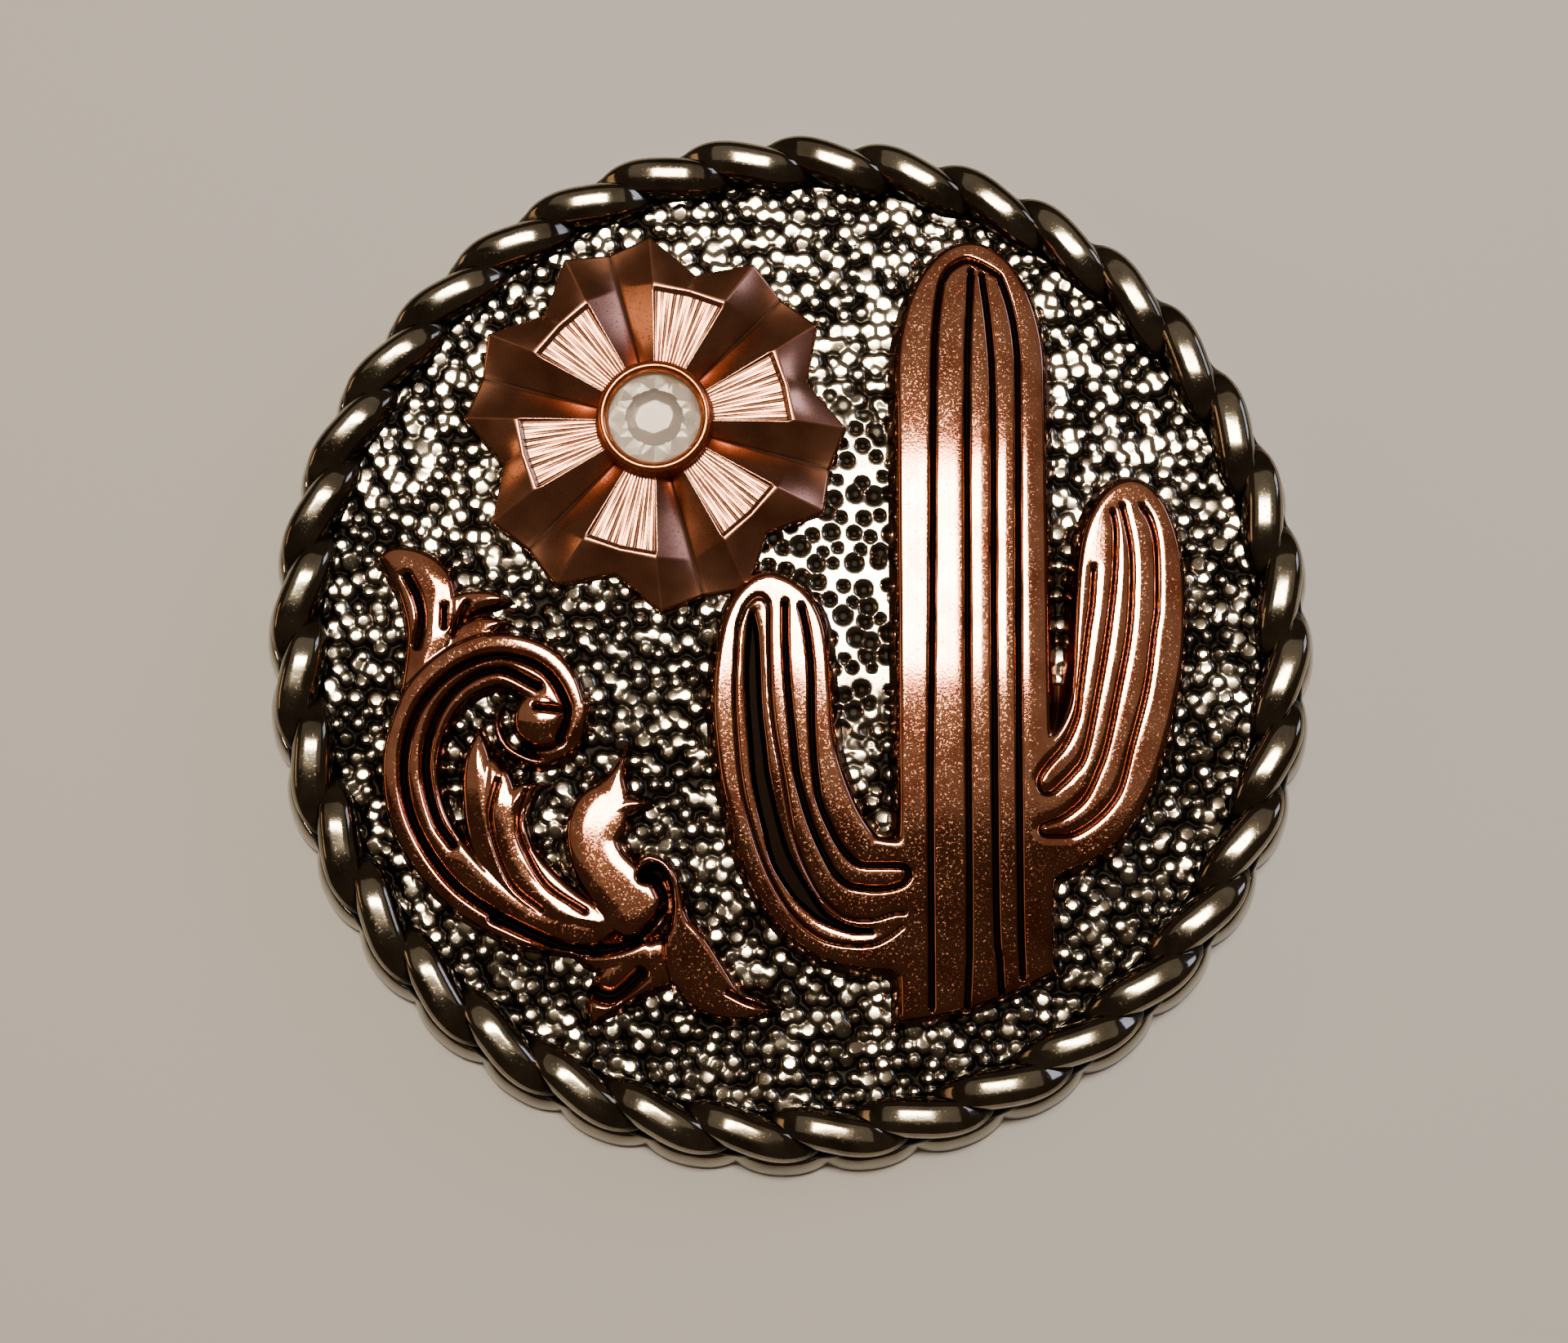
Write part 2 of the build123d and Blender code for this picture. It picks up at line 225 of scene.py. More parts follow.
def antique_metal(name, bright, worn, dark, gloss, dull, grain_mm, grain_depth_mm):
    """Polished metal that turns dark and dull with the piece's own amount of patina and painted
    shade. Fine scuffs leave the bright metal rougher in small specks."""
    made, tree, out = material(name)
    place = node(tree, "ShaderNodeTexCoord").outputs["Object"]
    hollow = node(tree, "ShaderNodeAttribute", attribute_name="hollow").outputs["Fac"]
    cloud, specks, scuffs, grain = [
        node(tree, "ShaderNodeTexNoise", {"Vector": place, "Scale": 1000 / size_mm, "Detail": detail})
        for size_mm, detail in ((cloud_mm, 5.0), (speck_mm, 1.0), (scuff_mm, 1.0), (grain_mm, 2.0))
    ]
    tarnish = node(
        tree,
        "ShaderNodeMapRange",
        {"Value": cloud.outputs[0], "From Min": 0.42, "From Max": 0.70, "To Max": 1.0},
    )
    dots = node(
        tree,
        "ShaderNodeMapRange",
        {"Value": specks.outputs[0], "From Min": 0.62, "From Max": 0.74, "To Max": 0.5},
    )
    metal = node(
        tree,
        "ShaderNodeMix",
        {"Factor": tarnish.outputs[0], 6: linear(bright), 7: linear(worn)},
        data_type="RGBA",
    )
    # Patina in the hollows, dark specks and, on some pieces, painted shade darken the colour and dull
    # it
    dirt_and_shade = node(tree, "ShaderNodeMath", {0: hollow, 1: dots.outputs[0]}, operation="MAXIMUM")
    colour = node(
        tree,
        "ShaderNodeMix",
        {"Factor": dirt_and_shade.outputs[0], 6: metal.outputs[2], 7: linear(dark)},
        data_type="RGBA",
    )
    rough = node(
        tree,
        "ShaderNodeMapRange",
        {"Value": dirt_and_shade.outputs[0], "To Min": gloss, "To Max": dull},
    )
    scuff_gloss = node(
        tree,
        "ShaderNodeMapRange",
        {"Value": scuffs.outputs[0], "From Min": 0.52, "From Max": 0.76, "To Max": scuff_roughness},
    )
    finish = node(
        tree, "ShaderNodeMath", {0: rough.outputs[0], 1: scuff_gloss.outputs[0]}, operation="MAXIMUM"
    )
    bump = node(
        tree,
        "ShaderNodeBump",
        {"Height": grain.outputs[0], "Strength": 1.0, "Distance": grain_depth_mm / 1000},
    )
    shader = node(
        tree,
        "ShaderNodeBsdfPrincipled",
        {
            "Base Color": colour.outputs[2],
            "Roughness": finish.outputs[0],
            "Metallic": 1.0,
            "Normal": bump.outputs[0],
        },
    )
    tree.links.new(shader.outputs[0], out.inputs[0])
    return made


# Antiqued nickel silver plate: bright worn tops with an orange peel, near black in the hollows and in
# the painted shade low on the rope's strands
silver = antique_metal(
    "antiqued_silver_plate", "#8a816e", "#645b4b", "#0a0805", 0.09, 0.42, 0.12, 0.0006
)

# The body is turned: a profile of radius and height carried round the disc, from the middle of its
# hidden top over the rim and the hollow back to the bore. Its wall is pushed in to cusps between
# scallops, and its bore is threaded.
turn = np.linspace(0, 2 * math.pi, 720, endpoint=False)
scale_place = ((turn - scallop_start) / strand_step) % 1
scale_in = scallop * np.abs(2 * scale_place - 1) ** scallop_power
bow = np.linspace(math.radians(160), math.radians(15), 16)
core_profile = np.stack(
    [core_radius + core_half_width * np.cos(bow), core_crest_foot + core_crest * np.sin(bow)], 1
)
wall_profile = np.array(
    [
        (18.44, 1.44), (18.52, 1.50), (18.60, 1.46), (18.68, 1.30), (18.76, 1.08), (18.84, 0.82),
        (18.90, 0.55), (18.95, 0.30), (18.985, 0.10), (18.93, 0.0),
    ]
)
thread_rise = np.linspace(0.05, bore_depth - 0.05, thread_rows)
profile = np.concatenate(
    [
        [(0, floor_under_copper), (8, floor_under_copper), (floor_reach, floor_under_copper)],
        core_profile,
        wall_profile,
        [(recess_radius + 0.08, 0), (recess_radius, 0.08)],
        [(recess_radius - 0.03, back_floor - 0.15), (recess_radius - 0.2, back_floor)],
        [(12, back_floor), (8, back_floor), (socket_radius + 0.2, back_floor)],
        [(socket_radius, back_floor - 0.15), (socket_radius, 0.06)],
        [(socket_radius - 0.06, 0), (bore_radius + 0.1, 0)],
        np.stack([np.full(thread_rows, bore_radius), thread_rise], 1),
        [(bore_radius, bore_depth), (0, bore_depth)],
    ]
)
first_wall = 3 + len(core_profile)
last_wall = first_wall + len(wall_profile)
scalloped = np.zeros(len(profile))
scalloped[first_wall:last_wall] = 1
threaded = np.zeros(len(profile))
threaded[-2 - thread_rows : -2] = 1
radius = profile[None, :, 0] - scalloped[None, :] * scale_in[:, None]
wind = profile[None, :, 1] / thread_pitch - turn[:, None] / (2 * math.pi)
radius = radius - threaded[None, :] * thread_depth * np.abs(2 * (wind % 1) - 1)
body = np.stack(
    [
        radius * np.cos(turn)[:, None],
        radius * np.sin(turn)[:, None],
        np.broadcast_to(profile[None, :, 1], radius.shape),
    ],
    -1,
)
body_faces = turned_over(grid_faces(len(turn), len(profile), round_rows=True))
body_hollow = np.full(len(profile), wall_dark)
body_hollow[: first_wall + 1] = 1
body_hollow = np.broadcast_to(body_hollow, radius.shape)


def strands(rows):
    """Rope strands. Over t from -1 to 1 the middle moves along the rim by t times the half length,
    outwards by the wind times the sine of t times a right angle, and up by the wind times one less
    |t| cubed. Its thickness goes as one less |t| to the 3.2. Across the top the section is
    sqrt(1 - u^4) of the thickness and leans to the disc's middle, and below it narrows."""
    t = np.linspace(-1, 1, rows)
    wound = t * math.pi / 2
    start = strand_middle + strand_step * np.arange(strand_count)[:, None]
    angle = start + t * strand_half_length / core_radius
    out = core_radius + strand_wind * np.sin(wound)
    rise = core_height + strand_wind * (1 - np.abs(t) ** 3.0)
    rise = np.broadcast_to(rise, angle.shape)
    middle = np.stack([out * np.cos(angle), out * np.sin(angle), rise], -1)
    ahead = np.gradient(middle, axis=1)
    ahead /= np.linalg.norm(ahead, axis=-1, keepdims=True)
    side = np.cross(ahead, [0, 0, 1])
    side /= np.linalg.norm(side, axis=-1, keepdims=True)
    lift = np.cross(side, ahead)
    thick = strand_half * (1 - np.abs(t) ** 3.2)
    half = np.array([0, 0.15, 0.3, 0.45, 0.6, 0.72, 0.83, 0.91, 0.97, 1.0])
    across = np.concatenate([half, [0.95, 0.6, 0.0, -0.6, -0.95], -half[:0:-1]])
    top = np.sqrt(1 - half**4)
    high = np.concatenate([top, [-0.35, -0.8, -1.0, -0.8, -0.35], top[:0:-1]])
    ring = len(across)
    wide = thick[:, None] * across
    tall = thick[:, None] * high + strand_lean * wide
    points = (
        middle[:, :, None, :]
        + tall[None, :, :, None] * lift[:, :, None, :]
        + wide[None, :, :, None] * side[:, :, None, :]
    )
    faces = turned_over(grid_faces(rows, ring, round_columns=True))
    faces = faces[None] + (np.arange(strand_count) * rows * ring)[:, None, None]
    return points.reshape(-1, 3), faces.reshape(-1, 4)


strand_points, strand_faces = strands(strand_rows)
# Painted shade: the strands turn near black below a height over their lower sides, together with
# their tarnish in the gaps
strand_hollow = strand_dark * ease(strand_dark_below - strand_points[:, 2], 0, strand_dark_fade)
points = np.concatenate([body.reshape(-1, 3), strand_points])
faces = np.concatenate([body_faces, strand_faces + len(body.reshape(-1, 3))])
hollow = np.concatenate([body_hollow.ravel(), strand_hollow])
rope_edge = lay("rope_edge_and_back", points, faces, silver, hollow=hollow)
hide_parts("concho_base")

# Cactus: a ribbed trunk with two arms, cast in relief and copper plated. Its ribs are left between
# narrow grooves that carry black antiquing. Their tops are slightly crowned, and the sides are steep.
face_radius = 16.5
cactus_relief = 1.0
side_width = 0.36
side_sharpness = 9
edge_dark = 0.7
edge_dark_reach = (0.02, 0.22)
crotch_fillet = 0.20
right_arm_bow = 0.0047
right_arm_bow_from = 13.5
right_arm_root = (8.4, 10.4)
right_rib_half = 0.36
right_rib_radius = 2.3
left_hollow_depth = 0.30
left_hollow_rounding = 0.04
groove_reach = 0.9
groove_fade = (0.05, 0.30)
rib_rounding_reach = 0.22
dark_fade = 0.25
piece_foot = ground_height - 0.15
# Outlines in shares of the face radius: the trunk's middle, half width, shoulder and top, three
# points of its foot, and each arm as x, y and half width from its tip to the trunk
trunk_middle, trunk_half, trunk_shoulder, trunk_top = 0.392, 0.182, 0.564, 0.888
trunk_foot = [(0.210, -0.845), (0.392, -0.812), (0.574, -0.733)]
left_arm = [
    (-0.042, 0.118, 0.006), (-0.042, 0.104, 0.038), (-0.046, 0.073, 0.080), (-0.038, 0.000, 0.130),
    (-0.040, -0.121, 0.146), (-0.032, -0.242, 0.147), (-0.010, -0.345, 0.150),
    (0.036, -0.467, 0.157), (0.110, -0.558, 0.160), (0.220, -0.582, 0.156), (0.300, -0.582, 0.150),
]
right_arm = [
    (0.735, 0.316, 0.006), (0.735, 0.303, 0.042), (0.734, 0.273, 0.085), (0.732, 0.212, 0.118),
    (0.732, 0.121, 0.135), (0.727, 0.000, 0.138), (0.718, -0.091, 0.134), (0.700, -0.188, 0.130),
    (0.660, -0.285, 0.138), (0.594, -0.360, 0.150), (0.500, -0.400, 0.150),
]
# Grooves, as x, y in shares of the face radius. The outer two of the trunk are one arch.
trunk_grooves = [
    [
        (0.296, -0.800), (0.296, -0.606), (0.297, -0.300), (0.303, 0.000), (0.307, 0.300),
        (0.310, 0.545), (0.315, 0.667), (0.326, 0.758), (0.336, 0.788), (0.352, 0.809),
        (0.379, 0.824), (0.399, 0.821), (0.424, 0.809), (0.447, 0.794), (0.459, 0.778),
        (0.479, 0.714), (0.491, 0.634), (0.493, 0.515), (0.488, 0.000), (0.485, -0.576),
        (0.488, -0.733),
    ],
    [
        (0.370, -0.797), (0.374, -0.727), (0.377, -0.606), (0.379, 0.0), (0.383, 0.545),
        (0.390, 0.727), (0.394, 0.80),
    ],
    [
        (0.443, -0.767), (0.440, -0.70), (0.434, -0.588), (0.435, 0.0), (0.439, 0.50),
        (0.432, 0.667), (0.418, 0.79),
    ],
]
left_arm_groove = [
    (-0.012, 0.064), (-0.012, 0.030), (-0.012, 0.000), (-0.010, -0.061), (-0.006, -0.121),
    (0.000, -0.182), (0.006, -0.242), (0.013, -0.303), (0.028, -0.364), (0.048, -0.424),
    (0.076, -0.485), (0.094, -0.515), (0.121, -0.538), (0.152, -0.545), (0.182, -0.547),
    (0.212, -0.544), (0.236, -0.535), (0.249, -0.518), (0.246, -0.505), (0.233, -0.498),
    (0.182, -0.497), (0.152, -0.496), (0.130, -0.485), (0.104, -0.455), (0.087, -0.424),
    (0.062, -0.364), (0.052, -0.303), (0.047, -0.242), (0.044, -0.182), (0.044, -0.121),
    (0.042, -0.061), (0.035, 0.000), (0.029, 0.030), (0.023, 0.055),
]
left_arm_fine_line = [
    (0.239, -0.597), (0.212, -0.600), (0.176, -0.611), (0.139, -0.612), (0.106, -0.602),
    (0.076, -0.576), (0.052, -0.545), (0.023, -0.485), (0.004, -0.424), (-0.007, -0.364),
    (-0.017, -0.303), (-0.029, -0.242), (-0.038, -0.182), (-0.043, -0.121), (-0.045, -0.061),
    (-0.047, 0.000), (-0.047, 0.055), (-0.055, 0.073), (-0.068, 0.079), (-0.082, 0.073),
    (-0.097, 0.055), (-0.108, 0.030), (-0.114, 0.000), (-0.117, -0.061), (-0.119, -0.121),
    (-0.118, -0.182), (-0.114, -0.242), (-0.108, -0.303), (-0.097, -0.364), (-0.081, -0.424),
    (-0.061, -0.485), (-0.033, -0.545), (0.000, -0.597), (0.036, -0.633), (0.073, -0.655),
    (0.121, -0.665), (0.170, -0.664), (0.206, -0.648), (0.233, -0.627),
]
# The left arm's wide hollow, as x, y and half width
left_arm_hollow = [
    (-0.084, 0.042, 0.003), (-0.082, 0.000, 0.010), (-0.082, -0.061, 0.014),
    (-0.081, -0.121, 0.015), (-0.077, -0.182, 0.015), (-0.071, -0.242, 0.016),
    (-0.065, -0.303, 0.017), (-0.053, -0.364, 0.018), (-0.038, -0.424, 0.018),
    (-0.020, -0.485, 0.020), (0.015, -0.545, 0.019), (0.039, -0.576, 0.015),
    (0.067, -0.605, 0.010), (0.103, -0.624, 0.007), (0.139, -0.635, 0.005), (0.170, -0.636, 0.003),
]
right_arm_grooves = [
    [
        (0.652, 0.140), (0.645, 0.060), (0.635, 0.000), (0.618, -0.121), (0.609, -0.182),
        (0.582, -0.242), (0.548, -0.282), (0.530, -0.309), (0.528, -0.327), (0.536, -0.342),
        (0.552, -0.344), (0.570, -0.330), (0.600, -0.300), (0.627, -0.258), (0.657, -0.121),
        (0.679, 0.000), (0.695, 0.121), (0.700, 0.220), (0.695, 0.262),
    ],
    [
        (0.715, 0.275), (0.730, 0.200), (0.733, 0.121), (0.724, 0.000), (0.700, -0.121),
        (0.673, -0.242), (0.652, -0.300), (0.624, -0.355), (0.582, -0.391), (0.552, -0.404),
        (0.533, -0.412), (0.529, -0.424), (0.540, -0.433), (0.570, -0.434), (0.600, -0.430),
        (0.642, -0.405), (0.679, -0.369), (0.703, -0.327), (0.726, -0.242), (0.759, -0.121),
        (0.777, 0.000), (0.786, 0.061), (0.787, 0.182), (0.776, 0.242), (0.757, 0.275),
    ],
]


def curve_through(rows, steps=10):
    """A smooth curve through rows of numbers: on each stretch a cubic whose slope at a row is half
    the step from the row before it to the row after it."""
    rows = np.asarray(rows, float)
    slope = np.gradient(rows, axis=0)
    t = np.linspace(0, 1, steps, endpoint=False)[None, :, None]
    a, b = rows[:-1, None], rows[1:, None]
    va, vb = slope[:-1, None], slope[1:, None]
    bend = (
        a * (2 * t**3 - 3 * t**2 + 1)
        + va * (t**3 - 2 * t**2 + t)
        + b * (3 * t**2 - 2 * t**3)
        + vb * (t**3 - t**2)
    )
    return np.concatenate([bend.reshape(-1, rows.shape[1]), rows[-1:]])


def groove_line(marks):
    """The smooth line, in millimetres, through marks given in shares of the face radius."""
    return curve_through(np.array(marks) * face_radius, 6)


def near_piece(x, y, piece, reach):
    """Which points lie within reach of the box round a piece of a line."""
    low, high = piece[:, :2].min(0) - reach, piece[:, :2].max(0) + reach
    return (x > low[0]) & (x < high[0]) & (y > low[1]) & (y < high[1])


def off_stretch(x, y, a, b):
    """The share of the way from a to b that lies nearest to each point, and how far off that is."""
    dx, dy = b[0] - a[0], b[1] - a[1]
    t = np.clip(((x - a[0]) * dx + (y - a[1]) * dy) / (dx * dx + dy * dy + 1e-12), 0, 1)
    return t, np.hypot(x - a[0] - t * dx, y - a[1] - t * dy)


def off_line(x, y, line, reach=groove_reach):
    """Distance of each point from a line of short stretches, or the reach where it is further.
    It is worked out for six stretches at a time, at the points near them."""
    best = np.full(x.shape, reach)
    for start in range(0, len(line) - 1, 6):
        piece = line[start : start + 7]
        near = near_piece(x, y, piece, reach)
        px, py, away = x[near], y[near], best[near]
        for a, b in zip(piece[:-1], piece[1:]):
            away = np.minimum(away, off_stretch(px, py, a, b)[1])
        best[near] = away
    return best


def inside_band(x, y, rows, reach=1.0):
    """How far each point lies inside a band whose rows are x, y and half width: the half width
    less the distance from its middle, at the stretch where that is most."""
    line = curve_through(rows, 8) * face_radius
    best = np.full(x.shape, -reach)
    for start in range(0, len(line) - 1, 8):
        piece = line[start : start + 9]
        near = near_piece(x, y, piece, piece[:, 2].max() + reach)
        px, py, deep = x[near], y[near], best[near]
        for a, b in zip(piece[:-1], piece[1:]):
            t, away = off_stretch(px, py, a, b)
            deep = np.maximum(deep, a[2] + t * (b[2] - a[2]) - away)
        best[near] = deep
    return best


def beside(rows, marks):
    """The line through marks of a place along a band and a share of its half width."""
    rows = np.asarray(rows, float)
    ahead = np.gradient(rows[:, :2], axis=0)
    ahead /= np.linalg.norm(ahead, axis=1, keepdims=True)
    left = np.stack([-ahead[:, 1], ahead[:, 0]], 1) * rows[:, 2:]
    place, share = np.asarray(marks, float).T
    row = np.arange(len(rows))
    spots = [
        np.interp(place, row, rows[:, i]) + share * np.interp(place, row, left[:, i]) for i in (0, 1)
    ]
    return curve_through(np.stack(spots, 1)) * face_radius


def trunk_inside(x, y):
    """How far each point lies inside the trunk: straight sides, half an ellipse on top and a curved
    foot, whichever is nearest."""
    across = x - trunk_middle * face_radius
    half = trunk_half * face_radius
    high = (trunk_top - trunk_shoulder) * face_radius
    above = np.maximum(y - trunk_shoulder * face_radius, 0)
    q = np.sqrt((across / half) ** 2 + (above / high) ** 2) + 1e-9
    slope = np.sqrt((across / half**2) ** 2 + (above / high**2) ** 2) / q + 1e-9
    sides = np.where(above > 0, (1 - q) / slope, half - np.abs(across))
    foot = np.array(trunk_foot) * face_radius
    bend = np.polyfit(foot[:, 0], foot[:, 1], 2)
    tilt = np.polyval(np.polyder(bend), x)
    return np.minimum(sides, (y - np.polyval(bend, x)) / np.sqrt(1 + tilt**2))


def cactus_inside(x, y):
    """How far each point lies inside the cactus: in the trunk or in an arm, whichever is more, with
    a fillet between them, (a + b + sqrt((a - b)^2 + k^2)) / 2."""
    arms = np.maximum(inside_band(x, y, left_arm), inside_band(x, y, right_arm))
    trunk = trunk_inside(x, y)
    return (trunk + arms + np.hypot(trunk - arms, crotch_fillet)) / 2


def relief(inside, x_lines, y_lines, height):
    """A raised piece as a sheet over a grid of lines. Points just outside its outline are drawn in
    to it, by one and a half cells at most, and height gives each point's rise and how black it is
    from x, y and how far inside it lies."""
    x, y = np.meshgrid(x_lines, y_lines)
    deep = inside(x, y)
    gy, gx = np.gradient(deep, y_lines, x_lines)
    size = gx * gx + gy * gy + 1e-6
    cell = np.abs(gx) * np.gradient(x_lines)[None, :] + np.abs(gy) * np.gradient(y_lines)[:, None]
    edge = deep < 0.6 * cell
    move = np.clip(np.where(edge, -deep, 0) / size, -1.5 * cell, 1.5 * cell)
    x, y = x + gx * move, y + gy * move
    deep = np.where(edge, 0, deep)
    faces = grid_faces(*x.shape)
    faces = faces[:, ::-1][(~edge.ravel())[faces].any(1)]
    rise, hollow = height(x, y, deep)
    points = np.stack([x, y, piece_foot + np.where(edge, 0, rise)], -1).reshape(-1, 3)
    return points, faces, hollow.ravel()


def steep_side(deep, width, sharpness):
    """0 at the outline and 1 on top: a straight rise over the width whose top corner is rounded,
    1 - log(1 + exp(k (1 - deep / width))) / k."""
    return 1 - np.log1p(np.exp(sharpness * (1 - deep / width))) / sharpness


# Each kind of groove: half width, depth, how square its section is, half width of the black in it
# and how far the rib beside it is rounded down
trunk_groove = (0.100, 0.20, 4.0, 0.10, 0.010)
arm_groove = (0.105, 0.20, 4.0, 0.10, 0.012)
fine_groove = (0.065, 0.09, 3.0, 0.05, 0.010)
open_groove = (0.070, 0.13, 3.0, 0.06, 0.0)


def cut_grooves(x, y, lines):
    """How deep the grooves are at each point, and how black. The section is the depth times
    exp(-(d / half)^square), and the rib beside it falls by its rounding times exp(-d / reach)."""
    cut = np.zeros(x.shape)
    black = np.zeros(x.shape)
    for line, (half, depth, square, dark_half, rounding) in lines:
        away = off_line(x, y, line)
        far = np.exp(-groove_reach / rib_rounding_reach)
        fall = rounding * (np.exp(-away / rib_rounding_reach) - far)
        cut = np.maximum(cut, depth * np.exp(-((away / half) ** square)) + fall)
        clear = ease(away, (1 - dark_fade) * dark_half, (1 + dark_fade) * dark_half)
        black = np.maximum(black, 1 - clear)
    return cut, black


def cactus_rise(x, y, deep):
    """The steep side and the flat top, less the grooves and the left arm's wide hollow. The right
    arm bows down to the trunk and its ribs are crowned: s^2 / (2 R) lower, s in from the crown."""
    top = cactus_relief + ground_height - piece_foot
    open_lines = [groove_line(marks) for marks in right_arm_grooves]
    lines = [(groove_line(marks), trunk_groove) for marks in trunk_grooves]
    lines += [(groove_line(left_arm_groove), arm_groove)]
    lines += [(groove_line(left_arm_fine_line), fine_groove)]
    lines += [(line, open_groove) for line in open_lines]
    cut, black = cut_grooves(x, y, lines)
    valley = inside_band(x, y, left_arm_hollow)
    rounding = left_hollow_rounding * np.exp(np.minimum(valley, 0) / rib_rounding_reach)
    cut = np.maximum(cut, left_hollow_depth * ease(valley, -0.08, 0.10) + rounding)
    black = np.maximum(black, ease(valley, -0.06, 0.0))
    black = np.maximum(black, edge_dark * (1 - ease(deep, *edge_dark_reach)))
    beside_groove = np.min([off_line(x, y, line) for line in open_lines], axis=0)
    cut = cut + np.maximum(right_rib_half - beside_groove, 0) ** 2 / (2 * right_rib_radius)
    cut = cut + right_arm_bow * np.maximum(right_arm_bow_from - x, 0) ** 2 * ease(x, *right_arm_root)
    return top * steep_side(deep, side_width, side_sharpness) - cut * ease(deep, *groove_fade), black


# Antiqued copper plate: red brown and glossy, finely specked, with black in the grooves
copper = antique_metal(
    "antiqued_copper_plate", "#b47a5c", "#96583f", "#0c0705", 0.04, 0.4, 0.10, 0.0006
)
# Grid lines as start, end and spacing. The rows lie closer where the grooves turn across them.
cactus_columns = np.arange(-3.3, 14.6, 0.045)
row_spans = ((-14.2, -11.6, 0.085), (-11.6, -4.0, 0.048), (-4.0, 12.0, 0.085), (12.0, 14.9, 0.055))
cactus_rows = np.concatenate([np.arange(*span) for span in row_spans])
points, faces, hollow = relief(cactus_inside, cactus_columns, cactus_rows, cactus_rise)
cactus = lay("ribbed_cactus", points, faces, copper, hollow=hollow)
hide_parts("cactus")

# Scroll: a stem of leaves that ends in a volute, with a hook and a curl at its foot, cast in
# relief and copper plated. Each leaf is a rounded bar of its own width, and the cuts are black.
scroll_side, scroll_sharpness = 0.24, 7
body_side, body_sharpness = 0.20, 6
body_foot = 0.32
scroll_edge_dark_reach = (0.02, 0.20)
scroll_cut_fade = (0.05, 0.25)
volute_cut = (0.13, 0.34, 2.4, 0.10, 0.03)
leaf_cut_square, leaf_cut_dark_share, leaf_cut_rounding = 2.4, 0.7, 0.02
# Bars as x, y and half width in shares of the face radius
volute = [
    (-0.442, -0.648, 0.050), (-0.582, -0.612, 0.061), (-0.703, -0.527, 0.070),
    (-0.785, -0.412, 0.073), (-0.812, -0.291, 0.073), (-0.788, -0.176, 0.073),
    (-0.724, -0.094, 0.070), (-0.630, -0.055, 0.070), (-0.539, -0.085, 0.073),
    (-0.494, -0.160, 0.068), (-0.512, -0.225, 0.060),
]
volute_eye = [(-0.536, -0.183, 0.070), (-0.536, -0.181, 0.070)]
eye_band = [
    (-0.442, -0.152, 0.026), (-0.452, -0.210, 0.024), (-0.476, -0.250, 0.022),
    (-0.536, -0.276, 0.021), (-0.603, -0.248, 0.020), (-0.629, -0.198, 0.018),
    (-0.622, -0.155, 0.010),
]
top_leaf = [
    (-0.900, 0.173, 0.005), (-0.845, 0.158, 0.048), (-0.788, 0.103, 0.074), (-0.776, 0.018, 0.064),
    (-0.788, -0.061, 0.055), (-0.800, -0.152, 0.055),
]
small_leaf = [
    (-0.597, 0.073, 0.005), (-0.642, 0.079, 0.027), (-0.703, 0.067, 0.039), (-0.752, 0.030, 0.048),
    (-0.776, -0.036, 0.055),
]
leaf_fork = [(-0.612, 0.030, 0.012), (-0.667, 0.012, 0.040), (-0.727, -0.030, 0.050)]
long_lobe = [
    (-0.662, -0.179, 0.004), (-0.667, -0.218, 0.020), (-0.668, -0.261, 0.038),
    (-0.667, -0.303, 0.046), (-0.661, -0.352, 0.051), (-0.648, -0.412, 0.056),
    (-0.621, -0.479, 0.058), (-0.570, -0.545, 0.058), (-0.497, -0.600, 0.051),
    (-0.418, -0.627, 0.042),
]
middle_lobe = [
    (-0.603, -0.286, 0.006), (-0.615, -0.309, 0.031), (-0.621, -0.352, 0.051),
    (-0.618, -0.412, 0.054), (-0.600, -0.473, 0.054),
]
short_lobe = [
    (-0.515, -0.321, 0.005), (-0.542, -0.326, 0.016), (-0.570, -0.341, 0.033),
    (-0.591, -0.370, 0.041), (-0.597, -0.406, 0.045), (-0.588, -0.455, 0.047),
    (-0.561, -0.500, 0.050), (-0.518, -0.545, 0.050), (-0.467, -0.582, 0.045),
    (-0.412, -0.603, 0.036),
]
leaf_web = [
    (-0.640, -0.260, 0.010), (-0.636, -0.300, 0.036), (-0.630, -0.382, 0.073),
    (-0.621, -0.436, 0.076), (-0.594, -0.497, 0.073), (-0.545, -0.558, 0.067),
    (-0.479, -0.600, 0.058), (-0.406, -0.618, 0.048),
]
hook = [
    (-0.352, -0.233, 0.006), (-0.359, -0.267, 0.017), (-0.373, -0.315, 0.034),
    (-0.385, -0.352, 0.053), (-0.409, -0.394, 0.074), (-0.421, -0.442, 0.069),
    (-0.406, -0.491, 0.069), (-0.370, -0.539, 0.074), (-0.333, -0.576, 0.078),
]
hook_bulb = [(-0.330, -0.582, 0.078), (-0.333, -0.585, 0.078)]
hook_nose = [
    (-0.300, -0.364, 0.012), (-0.321, -0.365, 0.022), (-0.358, -0.371, 0.035),
    (-0.388, -0.400, 0.042),
]
curl = [
    (-0.315, -0.490, 0.024), (-0.300, -0.482, 0.023), (-0.270, -0.494, 0.022),
    (-0.248, -0.527, 0.023), (-0.239, -0.570, 0.024), (-0.233, -0.618, 0.033),
    (-0.218, -0.679, 0.061), (-0.182, -0.745, 0.067), (-0.127, -0.788, 0.045),
    (-0.067, -0.797, 0.028), (-0.018, -0.798, 0.008),
]
under_leaf = [
    (-0.424, -0.833, 0.008), (-0.400, -0.788, 0.039), (-0.358, -0.739, 0.058),
    (-0.279, -0.703, 0.061), (-0.230, -0.700, 0.050),
]
lower_web = [(-0.448, -0.645, 0.050), (-0.400, -0.685, 0.045), (-0.320, -0.690, 0.050)]
